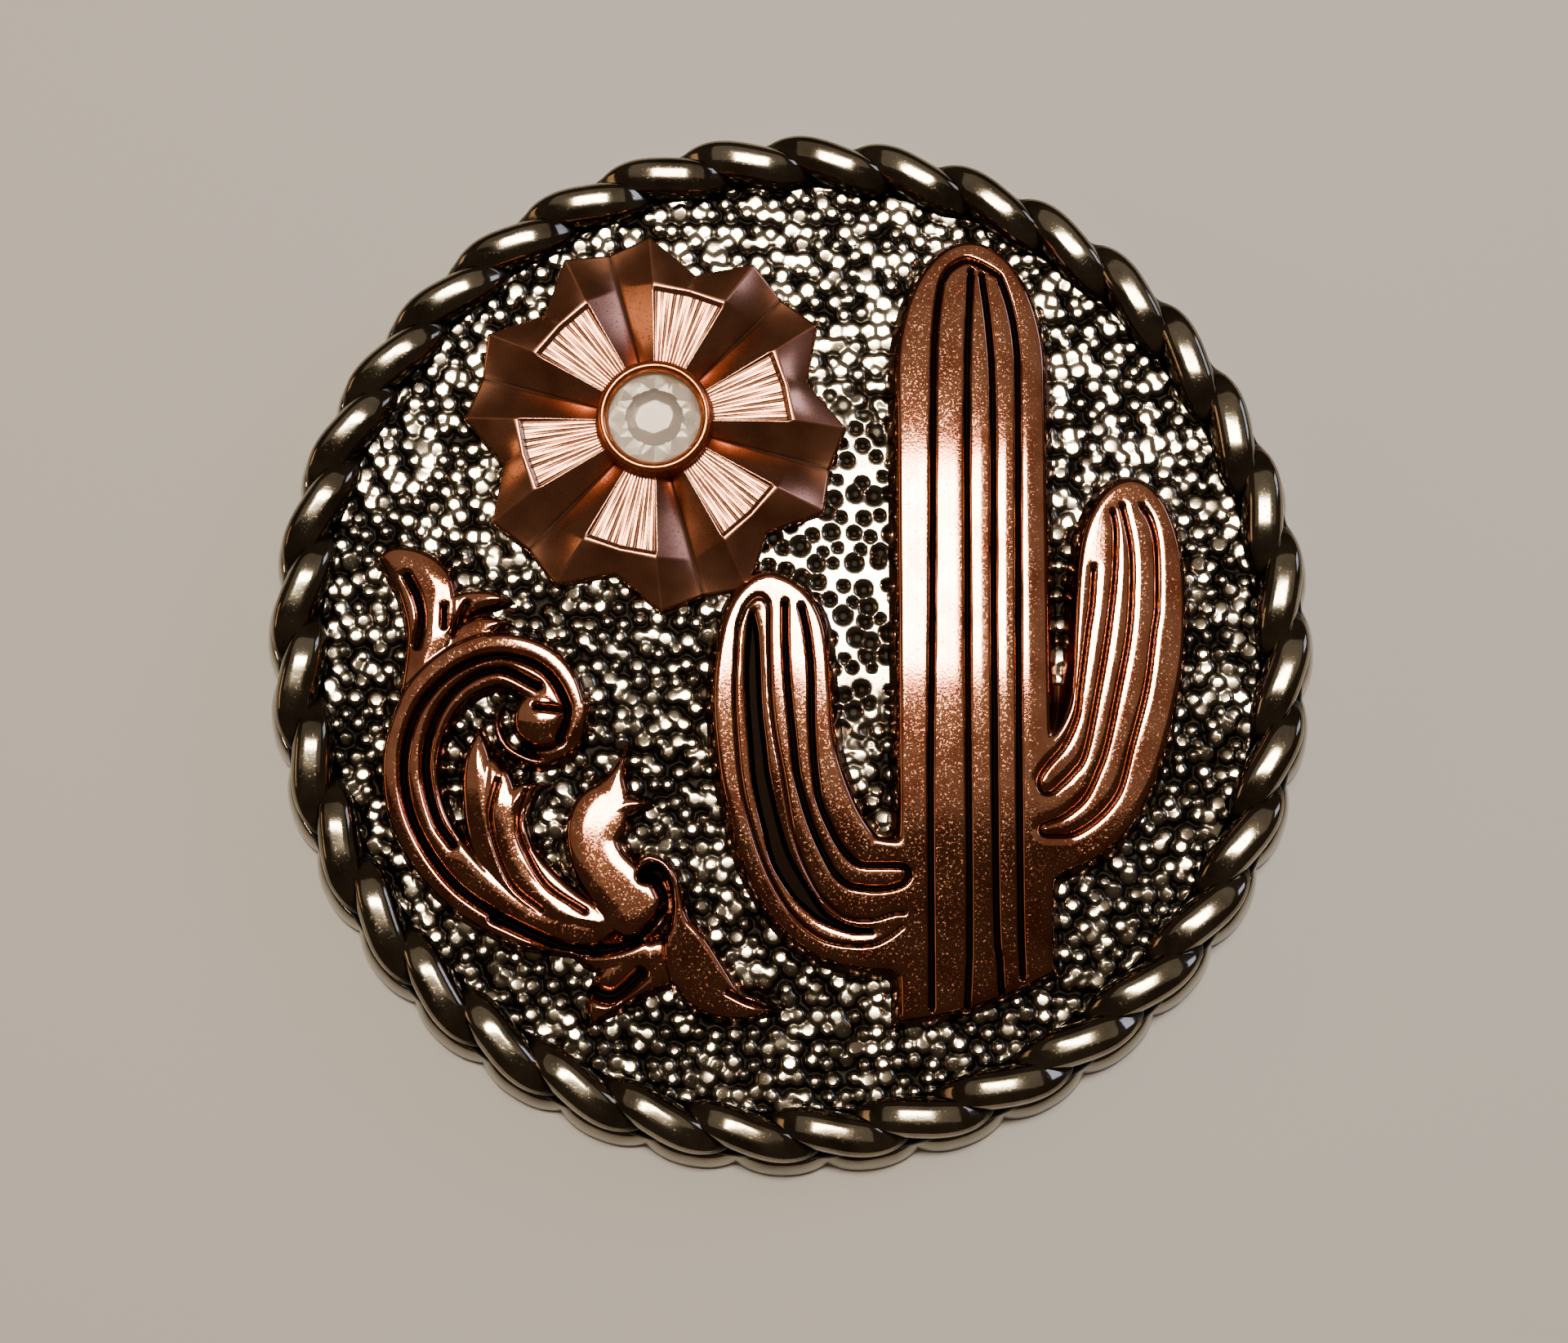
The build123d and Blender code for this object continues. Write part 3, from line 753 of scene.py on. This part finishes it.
# The bodies of the scroll: the bars each is joined from, the height of its top in millimetres above
# the ground, how far in from its edge the top is crowned, the radius of that crown, and how it
# falls away: a point of the line where the fall starts, its way and how fast its slope grows
fan_fall = (-11.6, -4.5, 0.68, 0.73, 0.070)
hook_fall = (0, -15.5, 0, 1, 0.0043)
no_fall = (0, 0, 0, 0, 0)
scroll_bodies = [
    ([volute], 0.86, 0.75, 7.0, no_fall), ([volute_eye], 0.90, 1.10, 4.5, no_fall),
    ([eye_band], 0.76, 0.36, 1.6, no_fall), ([top_leaf], 0.78, 1.00, 4.5, no_fall),
    ([small_leaf, leaf_fork], 0.70, 0.60, 3.0, no_fall),
    ([leaf_web, long_lobe, middle_lobe, short_lobe], 0.88, 1.20, 6.0, fan_fall),
    ([hook, hook_bulb, hook_nose], 0.98, 0.90, 6.0, hook_fall), ([curl], 0.82, 0.55, 2.2, no_fall),
    ([under_leaf, lower_web], 0.60, 0.80, 5.0, no_fall),
]
# Cuts along the volute, as a place counted in its rows and a share of its half width
volute_cuts = [
    [
        (1, 0.2), (2, 0.2), (3, 0.17), (4, 0.2), (5, 0.20), (6, 0.16), (7, 0.12), (8, 0.16),
        (9, 0.22), (10, 0.3),
    ],
    [(2.5, -0.45), (3, -0.48), (4, -0.45), (5, -0.38), (6, -0.32), (7, -0.3), (8.2, -0.25)],
]
# Cuts in the leaves, as x, y in shares of the face radius, with half width and depth in millimetres
leaf_cuts = [
    ([(-0.624, -0.606), (-0.485, -0.667), (-0.388, -0.673), (-0.312, -0.642), (-0.267, -0.582),
      (-0.285, -0.530), (-0.312, -0.520)], 0.17, 0.45),
    ([(-0.489, -0.227), (-0.515, -0.242), (-0.552, -0.245), (-0.588, -0.230),
      (-0.606, -0.203)], 0.11, 0.25),
    ([(-0.624, -0.318), (-0.639, -0.388), (-0.624, -0.461), (-0.588, -0.539),
      (-0.527, -0.590)], 0.08, 0.14),
    ([(-0.564, -0.339), (-0.579, -0.406), (-0.564, -0.461), (-0.518, -0.539),
      (-0.436, -0.594)], 0.08, 0.14),
    ([(-0.827, 0.127), (-0.803, 0.079), (-0.794, 0.030), (-0.803, -0.024)], 0.13, 0.25),
    ([(-0.745, 0.060), (-0.745, 0.018)], 0.09, 0.20),
    ([(-0.697, 0.067), (-0.727, 0.000)], 0.09, 0.24),
    ([(-0.133, -0.762), (-0.085, -0.785), (-0.030, -0.800)], 0.09, 0.14),
    ([(-0.424, -0.757), (-0.376, -0.770), (-0.320, -0.724)], 0.26, 0.34),
    ([(-0.545, -0.158), (-0.480, -0.165)], 0.10, 0.22),
]


def scroll_inside(x, y):
    """How far each point lies inside the scroll: in whichever of its bars is deepest."""
    bars = [rows for body in scroll_bodies for rows in body[0]]
    return np.max([inside_band(x, y, rows) for rows in bars], axis=0)


def scroll_rise(x, y, deep):
    """The highest body's top at each point, less the cuts. A body's top falls from its crown's start
    to its edge by s^2 / (2 R), and its side is as steep as a cast one."""
    crown = np.full(x.shape, body_foot)
    for bars, height, crown_reach, crown_radius, falls_away in scroll_bodies:
        start_x, start_y, way_x, way_y, growth = falls_away
        inside = np.max([inside_band(x, y, rows) for rows in bars], axis=0)
        fall = np.maximum(crown_reach - inside, 0) ** 2 / (2 * crown_radius)
        along = np.maximum((x - start_x) * way_x + (y - start_y) * way_y, 0)
        fall = fall + growth * along**2 / 2
        side = steep_side(np.maximum(inside, 0), body_side, body_sharpness)
        top = body_foot + (height - fall - body_foot) * side
        crown = np.maximum(crown, np.where(inside > 0, top, body_foot))
    lines = [(beside(volute, marks), volute_cut) for marks in volute_cuts]
    for marks, half, depth in leaf_cuts:
        kind = (half, depth, leaf_cut_square, leaf_cut_dark_share * half, leaf_cut_rounding)
        lines.append((groove_line(marks), kind))
    cut, black = cut_grooves(x, y, lines)
    black = np.maximum(black, edge_dark * (1 - ease(deep, *scroll_edge_dark_reach)))
    foot = ground_height - piece_foot
    rise = (foot + crown) * steep_side(deep, scroll_side, scroll_sharpness)
    rise = rise - cut * ease(deep, *scroll_cut_fade)
    return np.maximum(rise, foot * (deep > 0)), black


scroll_columns, scroll_rows = np.arange(-15.2, 0.1, 0.044), np.arange(-14.2, 3.7, 0.044)
points, faces, hollow = relief(scroll_inside, scroll_columns, scroll_rows, scroll_rise)
scroll = lay("leaf_scroll", points, faces, copper, hollow=hollow)
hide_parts("scroll")

# Flower: six petals round the crystal, cast in relief and copper plated. A petal is a sunk pad with
# fine lines, flanks that slope to the valleys beside it, and an outer edge forked into two tips.
# A petal's corners are radius in shares of the face radius, angle in degrees from the petal's
# middle, and share of the relief.
flower_centre = np.array([-0.294, 0.466]) * face_radius
flower_relief = 1.15
petal_turn = math.radians(15.5)
pad_inner = (0.110, 15.5, 0.95)
pad_outer = (0.303, 15.5, 1.00)
petal_tip = (0.412, 16.5, 0.58)
petal_notch = (0.388, 30.0, 0.36)
petal_root = (0.110, 30.0, 0.52)
petal_dip = (0.338, 0.0, 0.55)
valley_drop = 0.72
pad_bow = 0.985
pad_end = 0.6
tip_bow = 1.5
pad_columns, flank_columns, pad_rows, tip_rows = 36, 20, 44, 26
line_columns = 0.49
line_rows = (0.05, 0.57)
line_width = (0.35, 0.95)
pad_lines_in_a_turn = 124
pad_line_depth = 0.03
pad_line_dark = 0.55
pad_set_in = 0.025
pad_fall = 0.026
pad_fall_from = 1.5
valley_dark, root_dark = 0.08, 0.06
# The wall below the lip, as share of the drop to the ground and how far out, in millimetres
wall_rows = ((0.10, 0.04), (0.30, 0.07), (0.60, 0.08), (1.15, 0.08))
sunk_in_ground = 0.03
flower_lean = (-0.027, 0.035)


def corner(row):
    """A corner of the petal as x, y and rise in millimetres, with x along the petal's middle."""
    radius, angle, share = row
    radius, angle = radius * face_radius, math.radians(angle)
    return np.array([radius * math.cos(angle), radius * math.sin(angle), share * flower_relief])


def half_petal(across, out):
    """Half a petal over two shares: across, from its middle to the valley, with the pad's edge at a
    half, and out, with the pad's end at its own share. Each of its four facets is drawn straight
    between its corners, but along the outline between the tips the share across is raised to the
    tip's bow, which makes that outline a hollow curve."""
    inner_middle = corner((pad_inner[0], 0, pad_inner[2]))
    pad_middle = corner((pad_outer[0] * pad_bow, 0, pad_outer[2]))
    valley = corner(petal_root) + valley_drop * (corner(petal_notch) - corner(petal_root))
    corners = np.array(
        [
            [inner_middle, corner(pad_inner), corner(petal_root)],
            [pad_middle, corner(pad_outer), valley],
            [corner(petal_dip), corner(petal_tip), corner(petal_notch)],
        ]
    )
    a = np.clip(across * 2, 0, 2)
    i = np.clip(a.astype(int), 0, 1)
    a = (a - i)[:, None]
    b = np.where(out < pad_end, out / pad_end, (out - pad_end) / (1 - pad_end))
    j = (out >= pad_end).astype(int)
    b = b[:, None]
    bowed = np.where((i == 0)[:, None] & (j == 1)[:, None], a**tip_bow, a)
    low = corners[j, i] * (1 - a) + corners[j, i + 1] * a
    high = corners[j + 1, i] * (1 - bowed) + corners[j + 1, i + 1] * bowed
    return low * (1 - b) + high * b


# From a petal's middle to its valley, and on to the middle of the next petal
across = np.concatenate(
    [
        np.linspace(0, 0.5, pad_columns, endpoint=False),
        np.linspace(0.5, 1, flank_columns, endpoint=False),
        [1.0],
    ]
)
side = np.concatenate([np.ones(len(across)), -np.ones(len(across) - 2)])
across = np.concatenate([across, across[-2:0:-1]])
out = np.concatenate(
    [np.linspace(0, pad_end, pad_rows, endpoint=False), np.linspace(pad_end, 1, tip_rows)]
)
across, out = np.meshgrid(across, out)
shape = across.shape
side = np.broadcast_to(side, shape).ravel()
across, out = across.ravel(), out.ravel()
flat = half_petal(across, out)
reach, angle = np.hypot(flat[:, 0], flat[:, 1]), np.arctan2(flat[:, 1], flat[:, 0])
on_pad = (across < line_columns) & (out > line_rows[0]) & (out < line_rows[1])
# The lines are cut by hand, so each is stronger and weaker along its way
line_here = ease(np.cos(pad_lines_in_a_turn * angle), *line_width)
line_here *= 0.6 + 0.4 * np.sin(37 * angle + 9 * out)
pad_fall_here = pad_fall * (reach - pad_fall_from)
flat[:, 2] -= on_pad * (pad_set_in + pad_line_depth * line_here + pad_fall_here)
one_hollow = np.where(on_pad, pad_line_dark * line_here, 0)
one_hollow = np.maximum(one_hollow, 1 - ease(1 - across, 0.0, valley_dark))
one_hollow = np.maximum(one_hollow, 1 - ease(out, 0.0, root_dark))
petals = []
for k in range(6):
    middle = petal_turn + k * math.pi / 3
    turned = np.where(side > 0, middle, middle + math.pi / 3) + side * angle
    petal = np.stack([reach * np.cos(turned), reach * np.sin(turned), flat[:, 2]], -1)
    petals.append(petal.reshape(*shape, 3))
petals = np.concatenate(petals, axis=1)
petal_hollow = np.concatenate([one_hollow.reshape(shape)] * 6, axis=1)
lip = petals[-1:]
outward = lip[..., :2] / np.linalg.norm(lip[..., :2], axis=-1, keepdims=True)
wall = []
for drop, push in wall_rows:
    row = lip.copy()
    row[..., :2] += outward * push
    row[..., 2] = lip[..., 2] * (1 - drop) - sunk_in_ground * drop
    wall.append(row)
petals = np.concatenate([petals] + wall, axis=0)
wall_hollow = np.zeros((len(wall_rows), petal_hollow.shape[1]))
petal_hollow = np.concatenate([petal_hollow, wall_hollow], axis=0)
petals[..., 2] += flower_lean[0] * petals[..., 0] + flower_lean[1] * petals[..., 1]
petals[..., :2] += flower_centre
petals[..., 2] = np.maximum(petals[..., 2], -sunk_in_ground) + ground_height
flower_faces = np.roll(grid_faces(*petals.shape[:2], round_columns=True), 1, axis=1)
# Satin copper plate: as the rest, but with a soft sheen that spreads the light over the facets
satin_copper = antique_metal(
    "satin_copper_plate", "#d49270", "#b47658", "#0c0705", 0.23, 0.45, 0.12, 0.0008
)
points, hollow = petals.reshape(-1, 3), petal_hollow.ravel()
flower = lay("six_petal_flower", points, flower_faces, satin_copper, hollow=hollow)
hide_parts("flower")

# Bezel: a short copper tube round the crystal, its lip burnished over the stone's edge
bezel_radius = 2.08
bezel_top = 3.64
bezel_inside = 1.64
bezel_round_height = 0.30
bezel_seat = 0.62
bezel_floor = ground_height + 0.1
bezel_sides = 96


def turned_piece(name, profile, centre, around, finish, **amounts):
    """A profile of radius and height carried once round an upright line through the centre."""
    angle = np.linspace(0, 2 * math.pi, around, endpoint=False)[:, None]
    radius, rise = profile[None, :, 0], profile[None, :, 1]
    points = np.stack(
        [
            centre[0] + radius * np.cos(angle),
            centre[1] + radius * np.sin(angle),
            np.broadcast_to(rise, (around, len(profile))),
        ],
        -1,
    )
    spread = {n: np.broadcast_to(v, (around, len(profile))).ravel() for n, v in amounts.items()}
    faces = turned_over(grid_faces(around, len(profile), round_rows=True))
    return lay(name, points.reshape(-1, 3), faces, finish, **spread)


bend = np.linspace(0, math.pi, 24)
bezel_round = np.stack(
    [
        (bezel_radius + bezel_inside) / 2 - (bezel_radius - bezel_inside) / 2 * np.cos(bend),
        bezel_top - bezel_round_height + bezel_round_height * np.sin(bend),
    ],
    1,
)
bezel_profile = np.concatenate(
    [
        [(0, bezel_floor), (1.6, bezel_floor), (bezel_inside + 0.03, bezel_top - bezel_seat)],
        bezel_round,
        [(bezel_radius, 2.6), (bezel_radius, 2.1), (bezel_radius + 0.01, ground_height - 0.03)],
    ]
)
# Painted shade: darker towards its foot, where it stands in the flower, and none over its upper
# quarter
bezel_hollow = np.interp(bezel_profile[:, 1], [ground_height, 2.9, 3.2], [0.9, 0.5, 0.0])
# Bright copper: burnished, so it is smoother and more orange than the plated castings
bright_copper = antique_metal(
    "burnished_copper", "#f2945a", "#e07c44", "#1c0b05", 0.22, 0.4, 0.3, 0.002
)
bezel = turned_piece(
    "crystal_bezel", bezel_profile, flower_centre, bezel_sides, bright_copper, hollow=bezel_hollow
)
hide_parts("bezel_cup")

# Crystal: a pressed and polished glass stone with a foiled back, held in its cup by the lip. Its
# crown has a table, eight stars, eight kites and sixteen small facets at the girdle. The foil is a
# flat that leans a little and sixteen slopes round it, which send the light back to the front.
crystal_radius = 1.72
girdle = 3.34
crown = 0.68
table_radius_mm = 0.74
star_radius = 1.26
girdle_height = 0.35
foil_lean = math.tan(math.radians(-1.2))
foil_flat_radius = 0.85
foil_edge_radius = 1.66
foil_slope = math.tan(math.radians(11.5))
eighth = np.arange(8) * math.pi / 4
step = math.pi / 8
star_out = (star_radius * math.cos(step) - table_radius_mm) / (crystal_radius - table_radius_mm)
star_rise = crown * (1 - star_out)


def ring_of(radius, height, angles):
    """Points of one radius at some angles, of one height or of a height each."""
    rise = np.broadcast_to(height, angles.shape)
    return np.stack([radius * np.cos(angles), radius * np.sin(angles), rise], 1)


sixteenth = np.arange(16) * step
foil_top = girdle - girdle_height - foil_lean * foil_flat_radius * np.sin(sixteenth)
foil_edge = girdle - girdle_height - foil_lean * foil_edge_radius * np.sin(sixteenth)
foil_edge = foil_edge - foil_slope * (foil_edge_radius - foil_flat_radius)
stone_points = np.concatenate(
    [
        ring_of(table_radius_mm, girdle + crown, eighth),
        ring_of(star_radius, girdle + star_rise, eighth + step),
        ring_of(crystal_radius, girdle, sixteenth),
        ring_of(foil_edge_radius, foil_edge, sixteenth),
        ring_of(foil_flat_radius, foil_top, sixteenth),
    ]
)
stone_points[:, :2] += flower_centre
stone_mesh = bpy.data.meshes.new("faceted_crystal")
# Points 0 to 7 are the table's, 8 to 15 the stars', and from 16 on come three rings of 16
k8, k16 = np.arange(8), np.arange(16)
next16 = (k16 + 1) % 16
table = [list(range(8))]
stars = np.stack([k8, 8 + k8, (k8 + 1) % 8], 1).tolist()
kites = np.stack([k8, 8 + (k8 - 1) % 8, 16 + 2 * k8, 8 + k8], 1).tolist()
small = np.stack([8 + k8, 16 + 2 * k8, 16 + 2 * k8 + 1], 1).tolist()
small += np.stack([8 + k8, 16 + 2 * k8 + 1, 16 + (2 * k8 + 2) % 16], 1).tolist()
girdle_band = np.stack([16 + k16, 32 + k16, 32 + next16, 16 + next16], 1).tolist()
back = np.stack([32 + k16, 48 + k16, 48 + next16, 32 + next16], 1).tolist()
back += [list(range(63, 47, -1))]
crown_faces = table + stars + kites + small + girdle_band
stone_mesh.from_pydata((stone_points * 0.001).tolist(), [], crown_faces + back)
stone_mesh.update()
foil_faces = np.zeros(len(stone_mesh.polygons), np.int32)
foil_faces[-len(back) :] = 1
stone_mesh.polygons.foreach_set("material_index", foil_faces)

# Clear lead-free crystal glass: colourless, bright, sharp facets
glass, tree, out = material("clear_crystal_glass")
shader = node(
    tree,
    "ShaderNodeBsdfPrincipled",
    {"Base Color": linear("#fffaf2"), "Roughness": 0.02, "IOR": 1.56, "Transmission Weight": 1.0},
)
tree.links.new(shader.outputs[0], out.inputs[0])
# Silver foil under varnish, behind the glass: half a soft mirror, half a slightly warm white, so the
# stone looks light from all sides. It is crumpled a little, in folds of a third of a millimetre.
crumple_mm, crumple_depth_mm = 0.3, 0.003
foil, tree, out = material("silver_foil_backing")
place = node(tree, "ShaderNodeTexCoord").outputs["Object"]
crumple = node(
    tree, "ShaderNodeTexNoise", {"Vector": place, "Scale": 1000 / crumple_mm, "Detail": 2.0}
)
bump = node(
    tree,
    "ShaderNodeBump",
    {"Height": crumple.outputs[0], "Strength": 1.0, "Distance": crumple_depth_mm / 1000},
)
shader = node(
    tree,
    "ShaderNodeBsdfPrincipled",
    {
        "Base Color": linear("#fff6e8"),
        "Roughness": 0.20,
        "Metallic": 0.55,
        "Normal": bump.outputs[0],
    },
)
tree.links.new(shader.outputs[0], out.inputs[0])
stone_mesh.materials.append(glass)
stone_mesh.materials.append(foil)
crystal = bpy.data.objects.new("faceted_crystal", stone_mesh)
bpy.context.scene.collection.objects.link(crystal)
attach(crystal, "root")
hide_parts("crystal")

# Punched ground: the disc's face between the copper pieces. It was struck all over with small
# punches before casting, so close that mostly small round-topped islands are left between black
# gaps. Between the flower and the trunk the marks stand further apart in a flat land.
mark_count = 64
island_seed, pit_seed = 7, 3
island_pitch = 0.62
island_shift = 0.14
island_sizes = (0.72, 1.25)
island_radius = 0.23
island_crown = 0.006
island_crown_reach = 1.7
# Each island leans to the level place at this rate, less so below it, and by chance
level_height = 2.6
island_lean = 0.0068
lower_lean = 0.6
island_chance_lean = 0.055
# Up the face the islands grow broader and their chance lean less
upper_face = (-2, 8)
upper_broader = 0.14
upper_evener = 0.6
gap_edge, gap_dark_edge, gap_floor = 0.86, 1.22, 1.5
gap_depth = 0.13
mark_dark = 0.97
pit_pitch = 0.74
pit_shift = 0.20
pit_sizes = (0.60, 1.25)
pit_radius = 0.25
pit_side = (0.45, 1.3)
pit_dark_side = (0.65, 1.0)
pit_depth = 0.14
land_drop = 0.01
flat_land_middle = (1.2, 2.4)
flat_land_half = (4.6, 7.4)
flat_land_edge = 0.3
ground_cell = 0.070
ground_reach = 17.10
rim_start, rim_drop = 16.7, 0.35
flower_cover = 5.3
under_copper = 0.12


def strewn(x, y, pitch, shift, size_range, seed, lean=0.0):
    """Distance of each point from the nine nearest marks, over each mark's own size, and how high
    the point lies on each mark's own lean. The marks lie on a staggered lattice, each moved by up
    to the shift."""
    chance = np.random.default_rng(seed)
    each = (mark_count, mark_count)
    shift_x = chance.uniform(-shift, shift, each)
    shift_y = chance.uniform(-shift, shift, each)
    size = chance.uniform(*size_range, each)
    lean_x, lean_y = chance.normal(0, 1, (2, *each)) * lean
    row_pitch = pitch * math.sqrt(3) / 2
    row = np.round(y / row_pitch).astype(int)
    away, lift = [], []
    for up in (-1, 0, 1):
        j = row + up
        offset = 0.5 * (j % 2)
        column = np.round(x / pitch - offset).astype(int)
        for along in (-1, 0, 1):
            i = column + along
            a, b = i % mark_count, j % mark_count
            mark_x, mark_y = (i + offset) * pitch + shift_x[a, b], j * row_pitch + shift_y[a, b]
            away.append(np.hypot(x - mark_x, y - mark_y) / size[a, b])
            even = 1 - upper_evener * ease(mark_y, *upper_face)
            rate_y = island_lean * np.where(mark_y > level_height, 1.0, lower_lean)
            inward_x = island_lean * mark_x + even * lean_x[a, b]
            inward_y = rate_y * (mark_y - level_height) + even * lean_y[a, b]
            lift.append((x - mark_x) * inward_x + (y - mark_y) * inward_y)
    return np.array(away), np.array(lift)


def islands(x, y):
    """Round-topped islands: with v the soft least distance -log(sum of exp(-5 v)) / 5, in radii, the
    top falls by the crown times v squared and then to the gap. Each leans its own way and towards
    the disc's middle. Gives the rise and the black."""
    away, lift = strewn(
        x, y, island_pitch, island_shift, island_sizes, island_seed, island_chance_lean
    )
    weight = np.exp(-12 * away / island_radius)
    lift = (lift * weight).sum(0) / weight.sum(0)
    v = -np.log(np.exp(-5 * away / island_radius).sum(0)) / 5
    v = v - upper_broader * ease(y, *upper_face)
    crown_fall = island_crown * np.minimum(v, island_crown_reach) ** 2
    rise = lift - crown_fall - gap_depth * ease(v, gap_edge, gap_floor)
    return rise, mark_dark * ease(v, gap_edge, gap_dark_edge)


def pitted_land(x, y):
    """Round pits in a flat land: the depth times 1 - ease of the least distance in radii."""
    v = strewn(x, y, pit_pitch, pit_shift, pit_sizes, pit_seed)[0].min(0) / pit_radius
    rise = -land_drop - pit_depth * (1 - ease(v, *pit_side))
    return rise, mark_dark * (1 - ease(v, *pit_dark_side))


steps = np.arange(-ground_reach, ground_reach, ground_cell)
x, y = np.meshgrid(steps, steps)
copper_inside = np.maximum(cactus_inside(x, y), scroll_inside(x, y))
off_flower = np.hypot(x - flower_centre[0], y - flower_centre[1])
copper_inside = np.maximum(copper_inside, flower_cover - off_flower)
off_flat = np.hypot(
    (x - flat_land_middle[0]) / flat_land_half[0], (y - flat_land_middle[1]) / flat_land_half[1]
)
flat_share = ease(1 - off_flat, 0.0, flat_land_edge)
(island_rise, island_black), (land_rise, land_black) = islands(x, y), pitted_land(x, y)
rise = island_rise * (1 - flat_share) + land_rise * flat_share
rise = rise - rim_drop * ease(np.hypot(x, y), rim_start, ground_reach)
black = island_black * (1 - flat_share) + land_black * flat_share
ground_points = np.stack([x, y, ground_height + rise], -1).reshape(-1, 3)
faces = grid_faces(*x.shape)[:, ::-1]
shown = (np.hypot(x, y) < ground_reach) & (copper_inside < under_copper)
faces = faces[shown.ravel()[faces].all(1)]
# Struck silver plate: as the rest, but less polished between the punch marks
struck_silver = antique_metal(
    "struck_silver_plate", "#a89d88", "#857a67", "#0a0806", 0.11, 0.45, 0.12, 0.0006
)
ground = lay("punched_ground", ground_points, faces, struck_silver, hollow=black.ravel())
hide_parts("concho_base")
